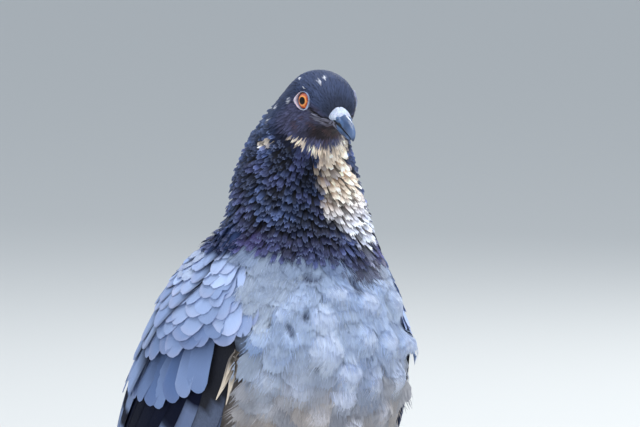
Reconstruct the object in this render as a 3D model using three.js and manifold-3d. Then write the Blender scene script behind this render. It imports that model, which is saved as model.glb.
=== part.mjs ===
// A life-size standing pigeon as separate closed solids, in millimetres, +Z up.
// The bird faces -Y and its left side is +X. Its own layout uses "ahead", the
// distance forward of the ankles, so a point (x, ahead, z) lies at (x, -ahead, z).
// Every flesh solid reaches out to the tips of the feathers.

import * as THREE from "three";
import { mergeVertices } from "three/addons/utils/BufferGeometryUtils.js";
import Module from "manifold-3d";

const wasm = await Module();
wasm.setup();

// ---------------------------------------------------------------- sizes, mm

const GAP = 0.3; // clearance between neighbouring solids

// Side profiles. Each section is a closed oval in the plane through its back and
// front points. back: [ahead, z], front: [ahead, z], half: half width, bias:
// shifts the widest place from mid depth towards the back point.

// The body, from the tail root to the bill root.
const BODY_SECTIONS = [
  { name: "tail root", back: [-101, 95], front: [-92, 80], half: 15, bias: 0 },
  { name: "rump", back: [-87, 114], front: [-70, 67], half: 28, bias: 0.05 },
  { name: "loin", back: [-69, 138], front: [-42, 60], half: 39, bias: 0.1 },
  { name: "belly", back: [-52, 159], front: [-12, 61], half: 45, bias: 0.1 },
  { name: "keel", back: [-38, 176], front: [18, 77], half: 48, bias: 0.1 },
  { name: "breast", back: [-29, 189], front: [42, 105], half: 49, bias: 0.1 },
  { name: "upper breast", back: [-22, 198], front: [54, 141], half: 46.5, bias: 0.05 },
  { name: "crop", back: [-15, 207], front: [53.5, 170], half: 38.5, bias: 0 },
  { name: "neck root", back: [-10, 218], front: [46.5, 193], half: 30.5, bias: 0 },
  { name: "lower neck", back: [-8, 231], front: [39.5, 213], half: 26.5, bias: 0 },
  { name: "mid neck", back: [-2, 243], front: [35.5, 228], half: 22.3, bias: 0 },
  { name: "throat", back: [8.5, 254.5], front: [35.5, 237], half: 17.6, bias: 0 },
  { name: "nape", back: [19, 263.5], front: [38, 242], half: 14.1, bias: 0.1 },
  { name: "crown", back: [31.5, 270.2], front: [42, 245], half: 13, bias: 0.12 },
  { name: "brow", back: [42.6, 268], front: [46.8, 246.4], half: 11, bias: 0.08 },
  { name: "forehead", back: [49.4, 261.6], front: [49.4, 246.8], half: 7.9, bias: 0 },
  { name: "bill root", back: [52.2, 255.8], front: [50.8, 247.8], half: 4.3, bias: 0 },
];
const NECK_FROM = 7.9; // section number where the trunk ends and the neck begins
const HEAD_FROM = 11.1; // section number where the neck ends and the head begins

// The folded wing's outer face, as four lines from its front edge to its tip,
// for the left wing. Each point is [x, ahead, z].
const WING_LINES = {
  inner: [[19, -13, 204], [20, -30, 187], [17, -54, 160], [13, -83, 130], [9, -114, 97], [6, -160, 54]],
  corner: [[32, -4, 198], [38, -26, 181], [39, -48, 156], [33, -78, 128], [21, -112, 95], [8, -160, 52]],
  side: [[40, 20, 185], [51.5, 2, 160], [52, -26, 132], [43, -63, 105], [26, -106, 80], [9, -160, 49]],
  low: [[41, 39, 158], [42, 28, 127], [45, -1, 100], [41, -42, 82], [27, -96, 64], [8, -158, 46]],
};
const WING_DEPTH = 7; // thickest, behind the wrist
const WING_EDGE = 1.2; // thickness along the edges
const WING_CLEARING = 25; // in gaps, how far above the wing the body is cut away
const WING_STEPS = 18; // rings along the wing
const WING_COLUMNS = 8; // faces across it
const WINGTIP_FROM = 12; // the ring from which the primaries are a node of their own
const WINGTIP_CUT = 0.04; // the clearance in front of that node, counted in rings

const TAIL = {
  root: [-78, 101], // [ahead, z] of the buried end
  tip: [-181, 24],
  rootHalf: 15,
  tipHalf: 25,
  rootDepth: 8,
  tipDepth: 1.6,
  crown: 5, // how far the middle stands above the edges
  corner: [7.2, 5.4], // how far the rounded corners of the tip are drawn ahead and up
  cornerPower: 6, // how close to the tip that rounding starts
  edgeThinning: 0.6, // the share of the depth lost at the edges
  slope: 0.6, // how far ahead the underside is shifted, in depths
};

// opening: radius of the hole in the head; forward: degrees the eye looks ahead of sideways
const EYE = { at: [11.7, 41.8, 258.4], radius: 4.9, opening: 3.9, forward: 19 };
const SOCKET = { length: 12, sides: 14 }; // the round opening in front of the eye

// The bill: back is the ridge and front the gape for the upper half, and back is
// the gape and front the underside for the lower half.
const UPPER_BILL_SECTIONS = [
  { name: "in the head", back: [44.5, 259.2], front: [43.5, 255.8], half: 4.2, bias: 0 },
  { name: "gape corner", back: [51, 255.8], front: [48.5, 253.3], half: 3.8, bias: -0.2 },
  { name: "nostril", back: [55, 253.4], front: [53, 250.4], half: 3, bias: -0.2 },
  { name: "ridge", back: [59.8, 251.1], front: [57.3, 248.1], half: 2.3, bias: -0.2 },
  { name: "hook", back: [63.1, 248], front: [60.3, 245.8], half: 1.6, bias: -0.1 },
  { name: "hook end", back: [63.8, 245.2], front: [62.2, 244.3], half: 0.9, bias: 0 },
  { name: "tip", back: [63.1, 243.3], front: [62.7, 243.2], half: 0.35, bias: 0 },
];
const LOWER_BILL_SECTIONS = [
  { name: "in the head", back: [43.1, 255.4], front: [42.1, 250.2], half: 4, bias: 0.2 },
  { name: "gape corner", back: [48.3, 253.1], front: [47.3, 248.8], half: 3.5, bias: 0.2 },
  { name: "branch", back: [53.2, 250.1], front: [52.2, 246.4], half: 2.7, bias: 0.2 },
  { name: "keel", back: [57.1, 247.7], front: [56.2, 244.6], half: 1.9, bias: 0.2 },
  { name: "point", back: [59.7, 245.6], front: [59.1, 243.8], half: 1.1, bias: 0 },
  { name: "tip", back: [61.1, 244.2], front: [60.8, 243.5], half: 0.35, bias: 0 },
];
const CERE = { at: [1.7, 53.1, 253.4], size: [3.1, 4.3, 2.6], tilt: 28, splay: 16 };

const ANKLE = [19.5, -20, 38];
const FOOT_JOINT = [19, -10, 6.2];
const THIGH_PATH = [[24, 2, 96], [23, -5, 76], [21, -13, 57], ANKLE];
const THIGH_RADII = [21, 17, 10.5, 4.6];
const THIGH_NARROWED = 0.85; // width over depth
const SHANK_RADIUS = [3.1, 2.2, 2.1, 2.7]; // ankle, below it, mid shank, above the toes
const SHANK_NARROWED = 0.88;
const SHANK_RISE = 2; // how far its top stands above the ankle, inside the thigh
const PAD = { radius: 4.3, z: 3.4 };

// heading: degrees outwards from straight ahead, in the order of the toes round the foot
const TOES = [
  { name: "inner", heading: -36, length: 22, radius: 2.4 },
  { name: "middle", heading: 2, length: 30, radius: 2.6 },
  { name: "outer", heading: 40, length: 24, radius: 2.4 },
  { name: "hind", heading: 172, length: 15, radius: 2.3 },
];
const TOE = {
  taper: 0.7, // thickness of the clawed end over that of the root
  start: 0.7, // where it begins, in pad radii from the foot joint
  joints: 6,
  swell: 0.08, // how much each joint stands out
  height: 0.86, // of its middle line, in radii, so that it rests on a flat
};
const TOE_WEDGE = { from: 0.5, reach: 60, half: 18, bottom: -1, top: 20 }; // half: degrees
const CLAW = {
  length: 7,
  radius: 1.25,
  arch: 1.2,
  buried: 1.5, // length inside the toe
  root: 0.95, // height of its root over half the thickness of the toe
  point: 0.35, // height of its point over the ground
  taper: 0.8,
  narrowed: 0.75,
  turn: 0.8, // the share of a half wave its back follows
  gap: 0.1,
};


// ---------------------------------------------------------------- materials

const paint = (color, roughness = 0.8) =>
  new THREE.MeshStandardMaterial({ color, roughness, metalness: 0 });
const COLOURS = {
  head: paint(0x4a546e),
  neck: paint(0x2c3654, 0.5),
  trunk: paint(0xa3b0cc),
  wing: paint(0x8493b5),
  flight: paint(0x2b3142),
  tail: paint(0x5d6884),
  thigh: paint(0x9aa5bd),
  scale: paint(0xb5524a, 0.6),
  claw: paint(0x26262b, 0.4),
  eye: paint(0xd9692b, 0.1),
  bill: paint(0x4d5b74, 0.4),
  cere: paint(0xe2e4ee, 0.7),
};

// ---------------------------------------------------------------- shape tools

const at = ([x, ahead, z]) => new THREE.Vector3(x, -ahead, z);

// Catmull-Rom curve through rows of numbers, at place t counted in rows.
function spline(rows, t) {
  const last = rows.length - 1;
  const i = Math.min(Math.max(Math.floor(t), 0), last - 1);
  const f = t - i;
  const row = (n) => rows[Math.min(Math.max(n, 0), last)];
  return rows[0].map((_, c) => {
    const [a, b, d, e] = [row(i - 1)[c], row(i)[c], row(i + 1)[c], row(i + 2)[c]];
    return (
      b +
      0.5 * f * (d - a + f * (2 * a - 5 * b + 4 * d - e + f * (3 * (b - d) + e - a)))
    );
  });
}

// Turns rings of points into a closed mesh: a wall between rings, and a fan on each end.
function loft(rings) {
  const count = rings[0].length;
  const points = rings.flat();
  const centre = (ring) =>
    ring.reduce((sum, p) => sum.add(p), new THREE.Vector3()).divideScalar(count);
  points.push(centre(rings[0]), centre(rings[rings.length - 1]));
  const index = [];
  for (let i = 0; i + 1 < rings.length; i++) {
    for (let j = 0; j < count; j++) {
      const a = i * count + j;
      const b = i * count + ((j + 1) % count);
      index.push(a, b, b + count, a, b + count, a + count);
    }
  }
  const last = (rings.length - 1) * count;
  for (let j = 0; j < count; j++) {
    const k = (j + 1) % count;
    index.push(points.length - 2, k, j, points.length - 1, last + j, last + k);
  }
  return solid(points, index);
}

// A manifold-3d solid from points and triangle corners, turned to face outwards.
function solid(points, index) {
  const geometry = new THREE.BufferGeometry().setFromPoints(points);
  geometry.setIndex(index);
  return solidFrom(geometry);
}

function solidFrom(geometry) {
  geometry.deleteAttribute("normal");
  geometry.deleteAttribute("uv");
  const merged = mergeVertices(geometry, 1e-4);
  const triVerts = new Uint32Array(merged.index.array);
  const vertProperties = merged.attributes.position.array;
  const build = () => new wasm.Manifold(new wasm.Mesh({ numProp: 3, vertProperties, triVerts }));
  const made = build();
  if (made.volume() > 0) return made;
  triVerts.reverse();
  return build();
}

function geometryFrom(manifold) {
  const mesh = manifold.getMesh();
  const geometry = new THREE.BufferGeometry();
  geometry.setAttribute("position", new THREE.BufferAttribute(mesh.vertProperties, 3));
  geometry.setIndex(new THREE.BufferAttribute(mesh.triVerts, 1));
  geometry.computeVertexNormals();
  return geometry;
}

// A tube through rows [x, ahead, z, half width, half depth]; round sections
// stand square to the path, with "across" as their sideways direction.
function tube(rows, sides, steps, across = new THREE.Vector3(1, 0, 0)) {
  const rings = [];
  for (let i = 0; i <= steps; i++) {
    const t = (i / steps) * (rows.length - 1);
    const [x, ahead, z, wide, deep] = spline(rows, t);
    const before = at(spline(rows, Math.max(t - 0.05, 0)));
    const after = at(spline(rows, Math.min(t + 0.05, rows.length - 1)));
    const along = after.sub(before).normalize();
    const up = new THREE.Vector3().crossVectors(along, across).normalize();
    const side = new THREE.Vector3().crossVectors(up, along);
    const ring = [];
    for (let j = 0; j < sides; j++) {
      const angle = ((j + 0.5) / sides) * 2 * Math.PI;
      ring.push(
        at([x, ahead, z])
          .addScaledVector(side, wide * Math.cos(angle))
          .addScaledVector(up, deep * Math.sin(angle)),
      );
    }
    rings.push(ring);
  }
  return loft(rings);
}

function ball(centre, radius, detail = 12) {
  return solidFrom(
    new THREE.SphereGeometry(radius, detail, detail / 2).translate(...centre.toArray()),
  );
}

function halfSpaceBelow(z, reach = 400) {
  return solidFrom(new THREE.BoxGeometry(reach, reach, reach).translate(0, 0, z - reach / 2));
}

const mirrored = (manifold) => manifold.mirror([1, 0, 0]);

// ---------------------------------------------------------------- body, neck, head

const rowsOf = (sections) =>
  sections.map(({ back, front, half, bias }) => [...back, ...front, half, bias]);

// A surface lofted through sections. place counts them from the first; angle is
// 0 along the back points and 180 degrees along the front. grow pushes it outwards.
function ovalPoint(rows, place, angle, grow) {
  const [backAhead, backZ, frontAhead, frontZ, half, bias] = spline(rows, place);
  const depth = Math.hypot(backAhead - frontAhead, backZ - frontZ) / 2;
  const reach = (Math.cos(angle) + bias * Math.sin(angle) ** 2) * (1 + grow / depth);
  return at([
    (half + grow) * Math.sin(angle),
    (backAhead + frontAhead) / 2 + ((backAhead - frontAhead) / 2) * reach,
    (backZ + frontZ) / 2 + ((backZ - frontZ) / 2) * reach,
  ]);
}

function ovalLoft(sections, { from = 0, to = sections.length - 1, steps, sides, grow = 0 }) {
  const rows = rowsOf(sections);
  const rings = [];
  for (let i = 0; i <= steps; i++) {
    const place = from + ((to - from) * i) / steps;
    rings.push(
      Array.from({ length: sides }, (_, j) =>
        ovalPoint(rows, place, (j / sides) * 2 * Math.PI, grow),
      ),
    );
  }
  return loft(rings);
}

const bodyPiece = (from, to, steps, grow = 0) =>
  ovalLoft(BODY_SECTIONS, { from, to, steps, sides: 28, grow });

// ---------------------------------------------------------------- wings

const WING_ROWS = Object.values(WING_LINES);

// Outer face of the left wing: length runs 0..1 to the tip, across 0..1 from
// the back edge to the lower edge.
function wingPoint(length, across) {
  const place = length * (WING_ROWS[0].length - 1);
  return at(spline(WING_ROWS.map((line) => spline(line, place)), across * (WING_ROWS.length - 1)));
}

function wingNormal(length, across) {
  const step = 0.01;
  const clamp = (v) => Math.min(Math.max(v, step), 1 - step);
  const [l, a] = [clamp(length), clamp(across)];
  const along = wingPoint(l + step, a).sub(wingPoint(l - step, a));
  const over = wingPoint(l, a + step).sub(wingPoint(l, a - step));
  return over.cross(along).normalize();
}

// Thin along its edges and towards the tip, thickest behind the wrist.
function wingDepth(length, across) {
  const belly = Math.sin(Math.PI * across) ** 0.6;
  const taper = 1 - 0.8 * length ** 0.8;
  return WING_EDGE * (0.5 + 0.5 * taper) + (WING_DEPTH - WING_EDGE) * belly * taper;
}

// The wing between two of its rings. grow > 0 gives the cutter that leaves room for it.
function wingPiece(from, to, grow = 0) {
  const across = WING_COLUMNS;
  const outer = [];
  const inner = [];
  for (let i = from; i <= to; i++) {
    const length = (i + (i === from && i > 0 ? WINGTIP_CUT : 0)) / WING_STEPS;
    const along = wingPoint(length + 0.01, 0.5).sub(wingPoint(length - 0.01, 0.5)).normalize();
    const lengthen = grow * (i === 0 ? -1 : i === WING_STEPS ? 1 : 0);
    const rows = [[], []];
    for (let j = 0; j <= across; j++) {
      const share = j / across;
      const point = wingPoint(length, share);
      const normal = wingNormal(length, share);
      const spread = wingPoint(length, 1).sub(wingPoint(length, 0)).normalize();
      const widen = grow * (j === across ? 1 : j === 0 ? -1 : 0);
      const thick = wingDepth(length, share);
      const shift = along.clone().multiplyScalar(lengthen).addScaledVector(spread, widen);
      rows[0].push(point.clone().addScaledVector(normal, grow * WING_CLEARING).add(shift));
      rows[1].push(point.clone().addScaledVector(normal, -thick - grow).add(shift));
    }
    outer.push(rows[0]);
    inner.push(rows[1]);
  }
  return band(outer, inner);
}

// A closed slab between two grids of points with the same layout.
function band(outer, inner) {
  const rows = outer.length;
  const cols = outer[0].length;
  const points = [...outer.flat(), ...inner.flat()];
  const under = rows * cols;
  const index = [];
  const quad = (a, b, c, d) => index.push(a, b, c, a, c, d);
  for (let i = 0; i + 1 < rows; i++) {
    for (let j = 0; j + 1 < cols; j++) {
      const a = i * cols + j;
      quad(a, a + 1, a + cols + 1, a + cols);
      quad(under + a, under + a + cols, under + a + cols + 1, under + a + 1);
    }
    const [left, right] = [i * cols, i * cols + cols - 1];
    quad(left, left + cols, under + left + cols, under + left);
    quad(right, under + right, under + right + cols, right + cols);
  }
  for (let j = 0; j + 1 < cols; j++) {
    const far = (rows - 1) * cols + j;
    quad(j, under + j, under + j + 1, j + 1);
    quad(far, far + 1, under + far + 1, under + far);
  }
  return solid(points, index);
}

// ---------------------------------------------------------------- tail

// A closed fan of feathers: a slab, arched across, that widens and thins to its tip.
function tail() {
  const steps = 7;
  const across = 8;
  const outer = [];
  const inner = [];
  for (let i = 0; i <= steps; i++) {
    const s = i / steps;
    const mix = (a, b) => a + (b - a) * s;
    const half = mix(TAIL.rootHalf, TAIL.tipHalf);
    const depth = mix(TAIL.rootDepth, TAIL.tipDepth);
    const rows = [[], []];
    for (let j = 0; j <= across; j++) {
      const side = (2 * j) / across - 1;
      const rounded = s ** TAIL.cornerPower * side ** 2;
      const ahead = mix(TAIL.root[0], TAIL.tip[0]) + TAIL.corner[0] * rounded;
      const z = mix(TAIL.root[1], TAIL.tip[1]) + TAIL.corner[1] * rounded - TAIL.crown * side ** 2;
      const thick = depth * (1 - TAIL.edgeThinning * side ** 2);
      rows[0].push(at([half * side, ahead, z]));
      rows[1].push(at([half * side, ahead + TAIL.slope * thick, z - thick]));
    }
    outer.push(rows[0]);
    inner.push(rows[1]);
  }
  return band(outer, inner);
}

// ---------------------------------------------------------------- head parts

const eyeAxis = new THREE.Vector3(1, 0, 0).applyAxisAngle(
  new THREE.Vector3(0, 0, 1),
  THREE.MathUtils.degToRad(-EYE.forward),
);
const eyeCentre = at(EYE.at).addScaledVector(eyeAxis, -EYE.radius);

// What the head leaves free for one eye: the ball, and a round opening outwards.
function eyeSocket() {
  const opening = new THREE.CylinderGeometry(EYE.opening, EYE.opening, SOCKET.length, SOCKET.sides)
    .translate(0, SOCKET.length / 2, 0)
    .applyQuaternion(
      new THREE.Quaternion().setFromUnitVectors(new THREE.Vector3(0, 1, 0), eyeAxis),
    )
    .translate(...eyeCentre.toArray());
  return ball(eyeCentre, EYE.radius + GAP).add(solidFrom(opening));
}

// The bare swelling over the nostrils: two lobes that meet on the middle line.
function cereLobes() {
  const lobe = (side) =>
    solidFrom(
      new THREE.SphereGeometry(1, 12, 9)
        .scale(CERE.size[0], CERE.size[1], CERE.size[2])
        .rotateX(THREE.MathUtils.degToRad(CERE.tilt))
        .rotateZ(THREE.MathUtils.degToRad(-side * CERE.splay))
        .translate(...at([side * CERE.at[0], CERE.at[1], CERE.at[2]]).toArray()),
    );
  return lobe(1).add(lobe(-1));
}

// ---------------------------------------------------------------- legs

function thigh() {
  const rows = THIGH_PATH.map((p, i) => [...p, THIGH_RADII[i] * THIGH_NARROWED, THIGH_RADII[i]]);
  return tube(rows, 12, 8);
}

function shank(grow = 0) {
  const steps = SHANK_RADIUS.length - 1;
  const rows = SHANK_RADIUS.map((radius, i) => {
    const s = i / steps;
    const mix = (k) => ANKLE[k] + (FOOT_JOINT[k] - ANKLE[k]) * s;
    const z = mix(2) + SHANK_RISE * (1 - s);
    return [mix(0), mix(1), z, radius * SHANK_NARROWED + grow, radius + grow];
  });
  const pad = ball(at([FOOT_JOINT[0], FOOT_JOINT[1], PAD.z]), PAD.radius + grow);
  return tube(rows, 8, 6).add(pad).subtract(halfSpaceBelow(0));
}

// A point along a toe, at a distance from the foot joint.
function toePoint(toe, distance, z) {
  const turn = THREE.MathUtils.degToRad(toe.heading);
  return [
    FOOT_JOINT[0] + distance * Math.sin(turn),
    FOOT_JOINT[1] + distance * Math.cos(turn),
    z,
  ];
}

const acrossToe = (toe) =>
  new THREE.Vector3(1, 0, 0).applyAxisAngle(
    new THREE.Vector3(0, 0, 1),
    THREE.MathUtils.degToRad(toe.heading),
  );

// Half the thickness of a toe at its clawed end.
const toeEnd = (spec) => spec.radius * TOE.taper;

// Swollen at each joint, flat underneath where it rests, thinner towards the claw.
function toe(spec, grow = 0) {
  const rows = [];
  const start = PAD.radius * TOE.start;
  for (let i = 0; i <= TOE.joints; i++) {
    const s = i / TOE.joints;
    const swell = 1 + TOE.swell * Math.cos(s * TOE.joints * Math.PI);
    const radius = (spec.radius + (toeEnd(spec) - spec.radius) * s) * swell + grow;
    const distance = start + s * (spec.length - start) + grow * s;
    rows.push([...toePoint(spec, distance, radius * TOE.height), radius, radius]);
  }
  return tube(rows, 8, 6, acrossToe(spec)).subtract(halfSpaceBelow(0));
}

// The wedge of space round a toe, so that neighbours part on a plane between them.
function toeWedge(spec) {
  const { from, reach, half } = TOE_WEDGE;
  const ring = (z) =>
    [
      [from, 0],
      [reach, -half],
      [reach, half],
    ].map(([distance, turn]) => {
      const [x, ahead] = toePoint({ heading: spec.heading + turn }, distance);
      return at([x, ahead, z]);
    });
  return loft([ring(TOE_WEDGE.bottom), ring(TOE_WEDGE.top)]);
}

// A curved spike from inside the toe's end down to the ground.
function claw(spec) {
  const rows = [];
  const steps = 3;
  const from = toeEnd(spec) * CLAW.root;
  for (let i = 0; i <= steps; i++) {
    const s = i / steps;
    const radius = CLAW.radius * (1 - CLAW.taper * s);
    const bow = CLAW.arch * Math.sin(s * Math.PI * CLAW.turn);
    const height = from + bow + (CLAW.point - from) * s * s;
    const distance = spec.length - CLAW.buried + (CLAW.length + CLAW.buried) * s;
    rows.push([...toePoint(spec, distance, height), radius * CLAW.narrowed, radius]);
  }
  return tube(rows, 6, 4, acrossToe(spec)).subtract(halfSpaceBelow(0));
}

// ---------------------------------------------------------------- assembly

const pigeon = new THREE.Group();

function addPart(name, manifold, material) {
  const mesh = new THREE.Mesh(geometryFrom(manifold), material);
  mesh.name = name;
  pigeon.add(mesh);
}

function addPair(name, leftSolid, material) {
  addPart(`${name}_left`, leftSolid, material);
  addPart(`${name}_right`, mirrored(leftSolid), material);
}

const lastSection = BODY_SECTIONS.length - 1;
const GAP_SECTIONS = 0.02; // a thin cut, counted in sections

const wingRoom = wingPiece(0, WING_STEPS, GAP);
const trunk = bodyPiece(0, NECK_FROM - GAP_SECTIONS, 20)
  .subtract(wingRoom)
  .subtract(mirrored(wingRoom));
const trunkRoom = bodyPiece(0, NECK_FROM, 20, GAP);
const neck = bodyPiece(NECK_FROM, HEAD_FROM - GAP_SECTIONS, 6)
  .subtract(wingRoom)
  .subtract(mirrored(wingRoom));

const eye = ball(eyeCentre, EYE.radius);
const bill = ovalLoft(UPPER_BILL_SECTIONS, { steps: 9, sides: 12 });
const billRoom = ovalLoft(UPPER_BILL_SECTIONS, { steps: 9, sides: 12, grow: GAP });
const jaw = ovalLoft(LOWER_BILL_SECTIONS, { steps: 8, sides: 10 });
const cere = cereLobes();
const headWhole = bodyPiece(HEAD_FROM, lastSection, 12);
const head = headWhole
  .subtract(eyeSocket())
  .subtract(mirrored(eyeSocket()));

addPart("head", head, COLOURS.head);
addPart("neck", neck, COLOURS.neck);
addPart("trunk", trunk, COLOURS.trunk);
addPair("eye", eye, COLOURS.eye);
addPart("bill_upper", bill.subtract(headWhole), COLOURS.bill);
addPart("bill_lower", jaw.subtract(headWhole).subtract(billRoom), COLOURS.bill);
addPart("cere", cere.subtract(headWhole).subtract(billRoom), COLOURS.cere);
addPair("wing", wingPiece(0, WINGTIP_FROM), COLOURS.wing);
addPair("wingtip", wingPiece(WINGTIP_FROM, WING_STEPS), COLOURS.flight);
addPart("tail", tail().subtract(trunkRoom).subtract(wingRoom).subtract(mirrored(wingRoom)), COLOURS.tail);
addPair("thigh", thigh().subtract(trunkRoom).subtract(shank(GAP)), COLOURS.thigh);
addPair("shank", shank(), COLOURS.scale);
for (const spec of TOES) {
  const toeSolid = toe(spec).intersect(toeWedge(spec)).subtract(shank(GAP));
  addPair(`toe_${spec.name}`, toeSolid, COLOURS.scale);
  addPair(`claw_${spec.name}`, claw(spec).subtract(toe(spec, CLAW.gap)), COLOURS.claw);
}

// The part's origin is on the ground, under the middle of the whole bird.
const reach = new THREE.Box3().setFromObject(pigeon);
const middle = reach.getCenter(new THREE.Vector3());
pigeon.position.set(-middle.x, -middle.y, -reach.min.z);

export default pigeon;
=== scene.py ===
"""A standing pigeon, life size: one skin, a coat of mesh feathers, eyes, bill, legs and claws.

Shapes are worked out in millimetres in the model's own frame. The bird faces -Y, its
left side is +X and the floor is z = 0. "Ahead" is the distance forward of the ankles:
a table's [x, ahead, z] lies at [x, SHIFT - ahead, z].
"""
import math

import bpy
import numpy as np
from mathutils import Matrix, Vector, kdtree


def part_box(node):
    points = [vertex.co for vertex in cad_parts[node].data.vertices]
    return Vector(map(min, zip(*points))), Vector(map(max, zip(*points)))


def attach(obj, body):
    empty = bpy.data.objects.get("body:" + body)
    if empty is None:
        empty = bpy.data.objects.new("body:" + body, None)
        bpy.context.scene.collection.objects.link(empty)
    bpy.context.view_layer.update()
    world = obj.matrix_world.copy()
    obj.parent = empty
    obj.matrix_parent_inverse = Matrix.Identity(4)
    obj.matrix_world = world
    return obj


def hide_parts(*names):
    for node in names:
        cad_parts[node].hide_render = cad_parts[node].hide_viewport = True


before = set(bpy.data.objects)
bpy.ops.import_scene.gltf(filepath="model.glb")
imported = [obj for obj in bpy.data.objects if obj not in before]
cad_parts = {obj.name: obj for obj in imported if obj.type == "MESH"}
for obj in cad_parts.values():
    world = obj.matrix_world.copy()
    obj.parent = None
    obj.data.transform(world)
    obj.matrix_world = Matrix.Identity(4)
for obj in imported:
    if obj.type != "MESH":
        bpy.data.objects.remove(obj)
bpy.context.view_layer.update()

MM = 0.001
TURN = 2 * np.pi

# ---------------- sizes, mm

# Body sections from the tail root to the bill root:
# back [ahead, z], front [ahead, z], half width, bias of the widest place to the back.
BODY = np.array([
    [-101, 95, -92, 80, 15, 0],
    [-87, 114, -70, 67, 28, .05],
    [-69, 138, -42, 60, 39, .1],
    [-52, 159, -12, 61, 45, .1],
    [-38, 176, 18, 77, 48, .1],
    [-29, 189, 42, 105, 49, .1],
    [-22, 198, 54, 141, 46.5, .05],
    [-15, 207, 53.5, 170, 38.5, 0],
    [-10, 218, 46.5, 193, 30.5, 0],
    [-8, 231, 39.5, 213, 26.5, 0],
    [-2, 243, 35.5, 228, 22.3, 0],
    [8.5, 254.5, 35.5, 237, 17.6, 0],
    [19, 263.5, 38, 242, 14.1, .1],
    [31.5, 270.2, 42, 245, 13, .12],
    [42.6, 268, 46.8, 246.4, 11, .08],
    [49.4, 261.6, 49.4, 246.8, 7.9, 0],
    [52.2, 255.8, 50.8, 247.8, 4.3, 0],
], float)

# The folded left wing's outer face: inner, corner, side and low lines from front to tip.
WING = np.array([
    [[19, -13, 204], [20, -30, 187], [17, -54, 160], [13, -83, 130], [9, -114, 97], [6, -160, 54]],
    [[32, -4, 198], [38, -26, 181], [39, -48, 156], [33, -78, 128], [21, -112, 95], [8, -160, 52]],
    [[40, 20, 185], [51.5, 2, 160], [52, -26, 132], [43, -63, 105], [26, -106, 80], [9, -160, 49]],
    [[41, 39, 158], [42, 28, 127], [45, -1, 100], [41, -42, 82], [27, -96, 64], [8, -158, 46]],
], float)

TAIL = dict(root=(-78, 101), tip=(-181, 24), root_half=15, tip_half=25, crown=5)

EYE_AT, EYE_RADIUS, EYE_FORWARD = np.array([11.7, 41.8, 258.4]), 4.9, math.radians(19)

UPPER_BILL = np.array([
    [44.5, 259.2, 43.5, 255.8, 4.2, 0], [51, 255.8, 48.5, 253.3, 3.8, -.2],
    [55, 253.4, 53, 250.4, 3, -.2], [59.8, 251.1, 57.3, 248.1, 2.3, -.2],
    [63.1, 248, 60.3, 245.8, 1.6, -.1], [63.8, 245.2, 62.2, 244.3, .9, 0],
    [63.1, 243.3, 62.7, 243.2, .35, 0],
], float)
LOWER_BILL = np.array([
    [43.1, 255.4, 42.1, 250.2, 4, .2], [48.3, 253.1, 47.3, 248.8, 3.5, .2],
    [53.2, 250.1, 52.2, 246.4, 2.7, .2], [57.1, 247.7, 56.2, 244.6, 1.9, .2],
    [59.7, 245.6, 59.1, 243.8, 1.1, 0], [61.1, 244.2, 60.8, 243.5, .35, 0],
], float)
# The gape line from behind the corner of the mouth to the hook, and the nostril slit, [ahead, z].
GAPE = np.array([[43, 256.4], [45.6, 255], [48.5, 253.2], [53, 250.3],
                 [57.3, 247.9], [60.3, 245.6], [62., 244]])
NOSTRIL, NOSTRIL_SLIT, NOSTRIL_SLOPE = np.array([55.7, 249.9]), [2.1, .7], math.radians(-32)
NOSTRIL_TURN = np.array([[math.cos(NOSTRIL_SLOPE), -math.sin(NOSTRIL_SLOPE)],
                         [math.sin(NOSTRIL_SLOPE), math.cos(NOSTRIL_SLOPE)]])
CERE_SADDLE = dict(at=(0, 52.9, 253.9), size=(4.7, 3.6, 1.55), tilt=33, bend=.115)
NOSTRIL_FLAP = dict(at=(2.3, 55., 251.5), size=(1., 2.1, 1.), tilt=32)

ANKLE = [19.5, -20, 38]
FOOT_JOINT = [19, -10, 6.2]
THIGH = np.array([[24, 2, 96, 21], [23, -5, 76, 17], [21, -13, 57, 10.5], ANKLE + [4.6]], float)

SHANK_RADIUS = [3.1, 2.2, 2.1, 2.7]
PAD_RADIUS, PAD_Z = 4.3, 3.4
TOES = [dict(zip(("name", "heading", "length", "radius"), row)) for row in (
    ("inner", -36, 22, 2.4), ("middle", 2, 30, 2.6), ("outer", 40, 24, 2.4), ("hind", 172, 15, 2.3))]
TOE_TAPER = .7  # of a toe's radius at its tip
CLAW = dict(length=7, radius=1.25, arch=1.2)
SOLE_Z = .02

eye_low, eye_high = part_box("eye_left")
SHIFT = (eye_low[1] + eye_high[1]) / 2 / MM + EYE_AT[1] - EYE_RADIUS * math.sin(EYE_FORWARD)


def at(rows):
    """Layout [x, ahead, z] to frame [x, y, z]."""
    rows = np.asarray(rows, float)
    return np.stack([rows[..., 0], SHIFT - rows[..., 1], rows[..., 2]], -1)


# ---------------- number tools

def ease(x, start, end):
    """0 up to start, 1 from end, and 3t^2 - 2t^3 between them."""
    t = np.clip((np.asarray(x, float) - start) / (end - start), 0, 1)
    return t * t * (3 - 2 * t)


def lerp(a, b, share):
    """Number a at share 0, b at 1."""
    return a + (b - a) * share


def mix(a, b, share):
    """Colour a at share 0, b at 1; share has one axis less."""
    return a + (b - a) * np.asarray(share, float)[..., None]


def dot(a, b):
    """Products of two lists of vectors, with the last axis kept."""
    return (a * b).sum(-1, keepdims=True)


def unit(a):
    """Vectors divided by their lengths."""
    return a / np.maximum(np.linalg.norm(a, axis=-1, keepdims=True), 1e-12)


def around(angle):
    """Angle from the back, 0..pi, the same on both sides."""
    return np.pi - np.abs(np.mod(angle, TURN) - np.pi)


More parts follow.
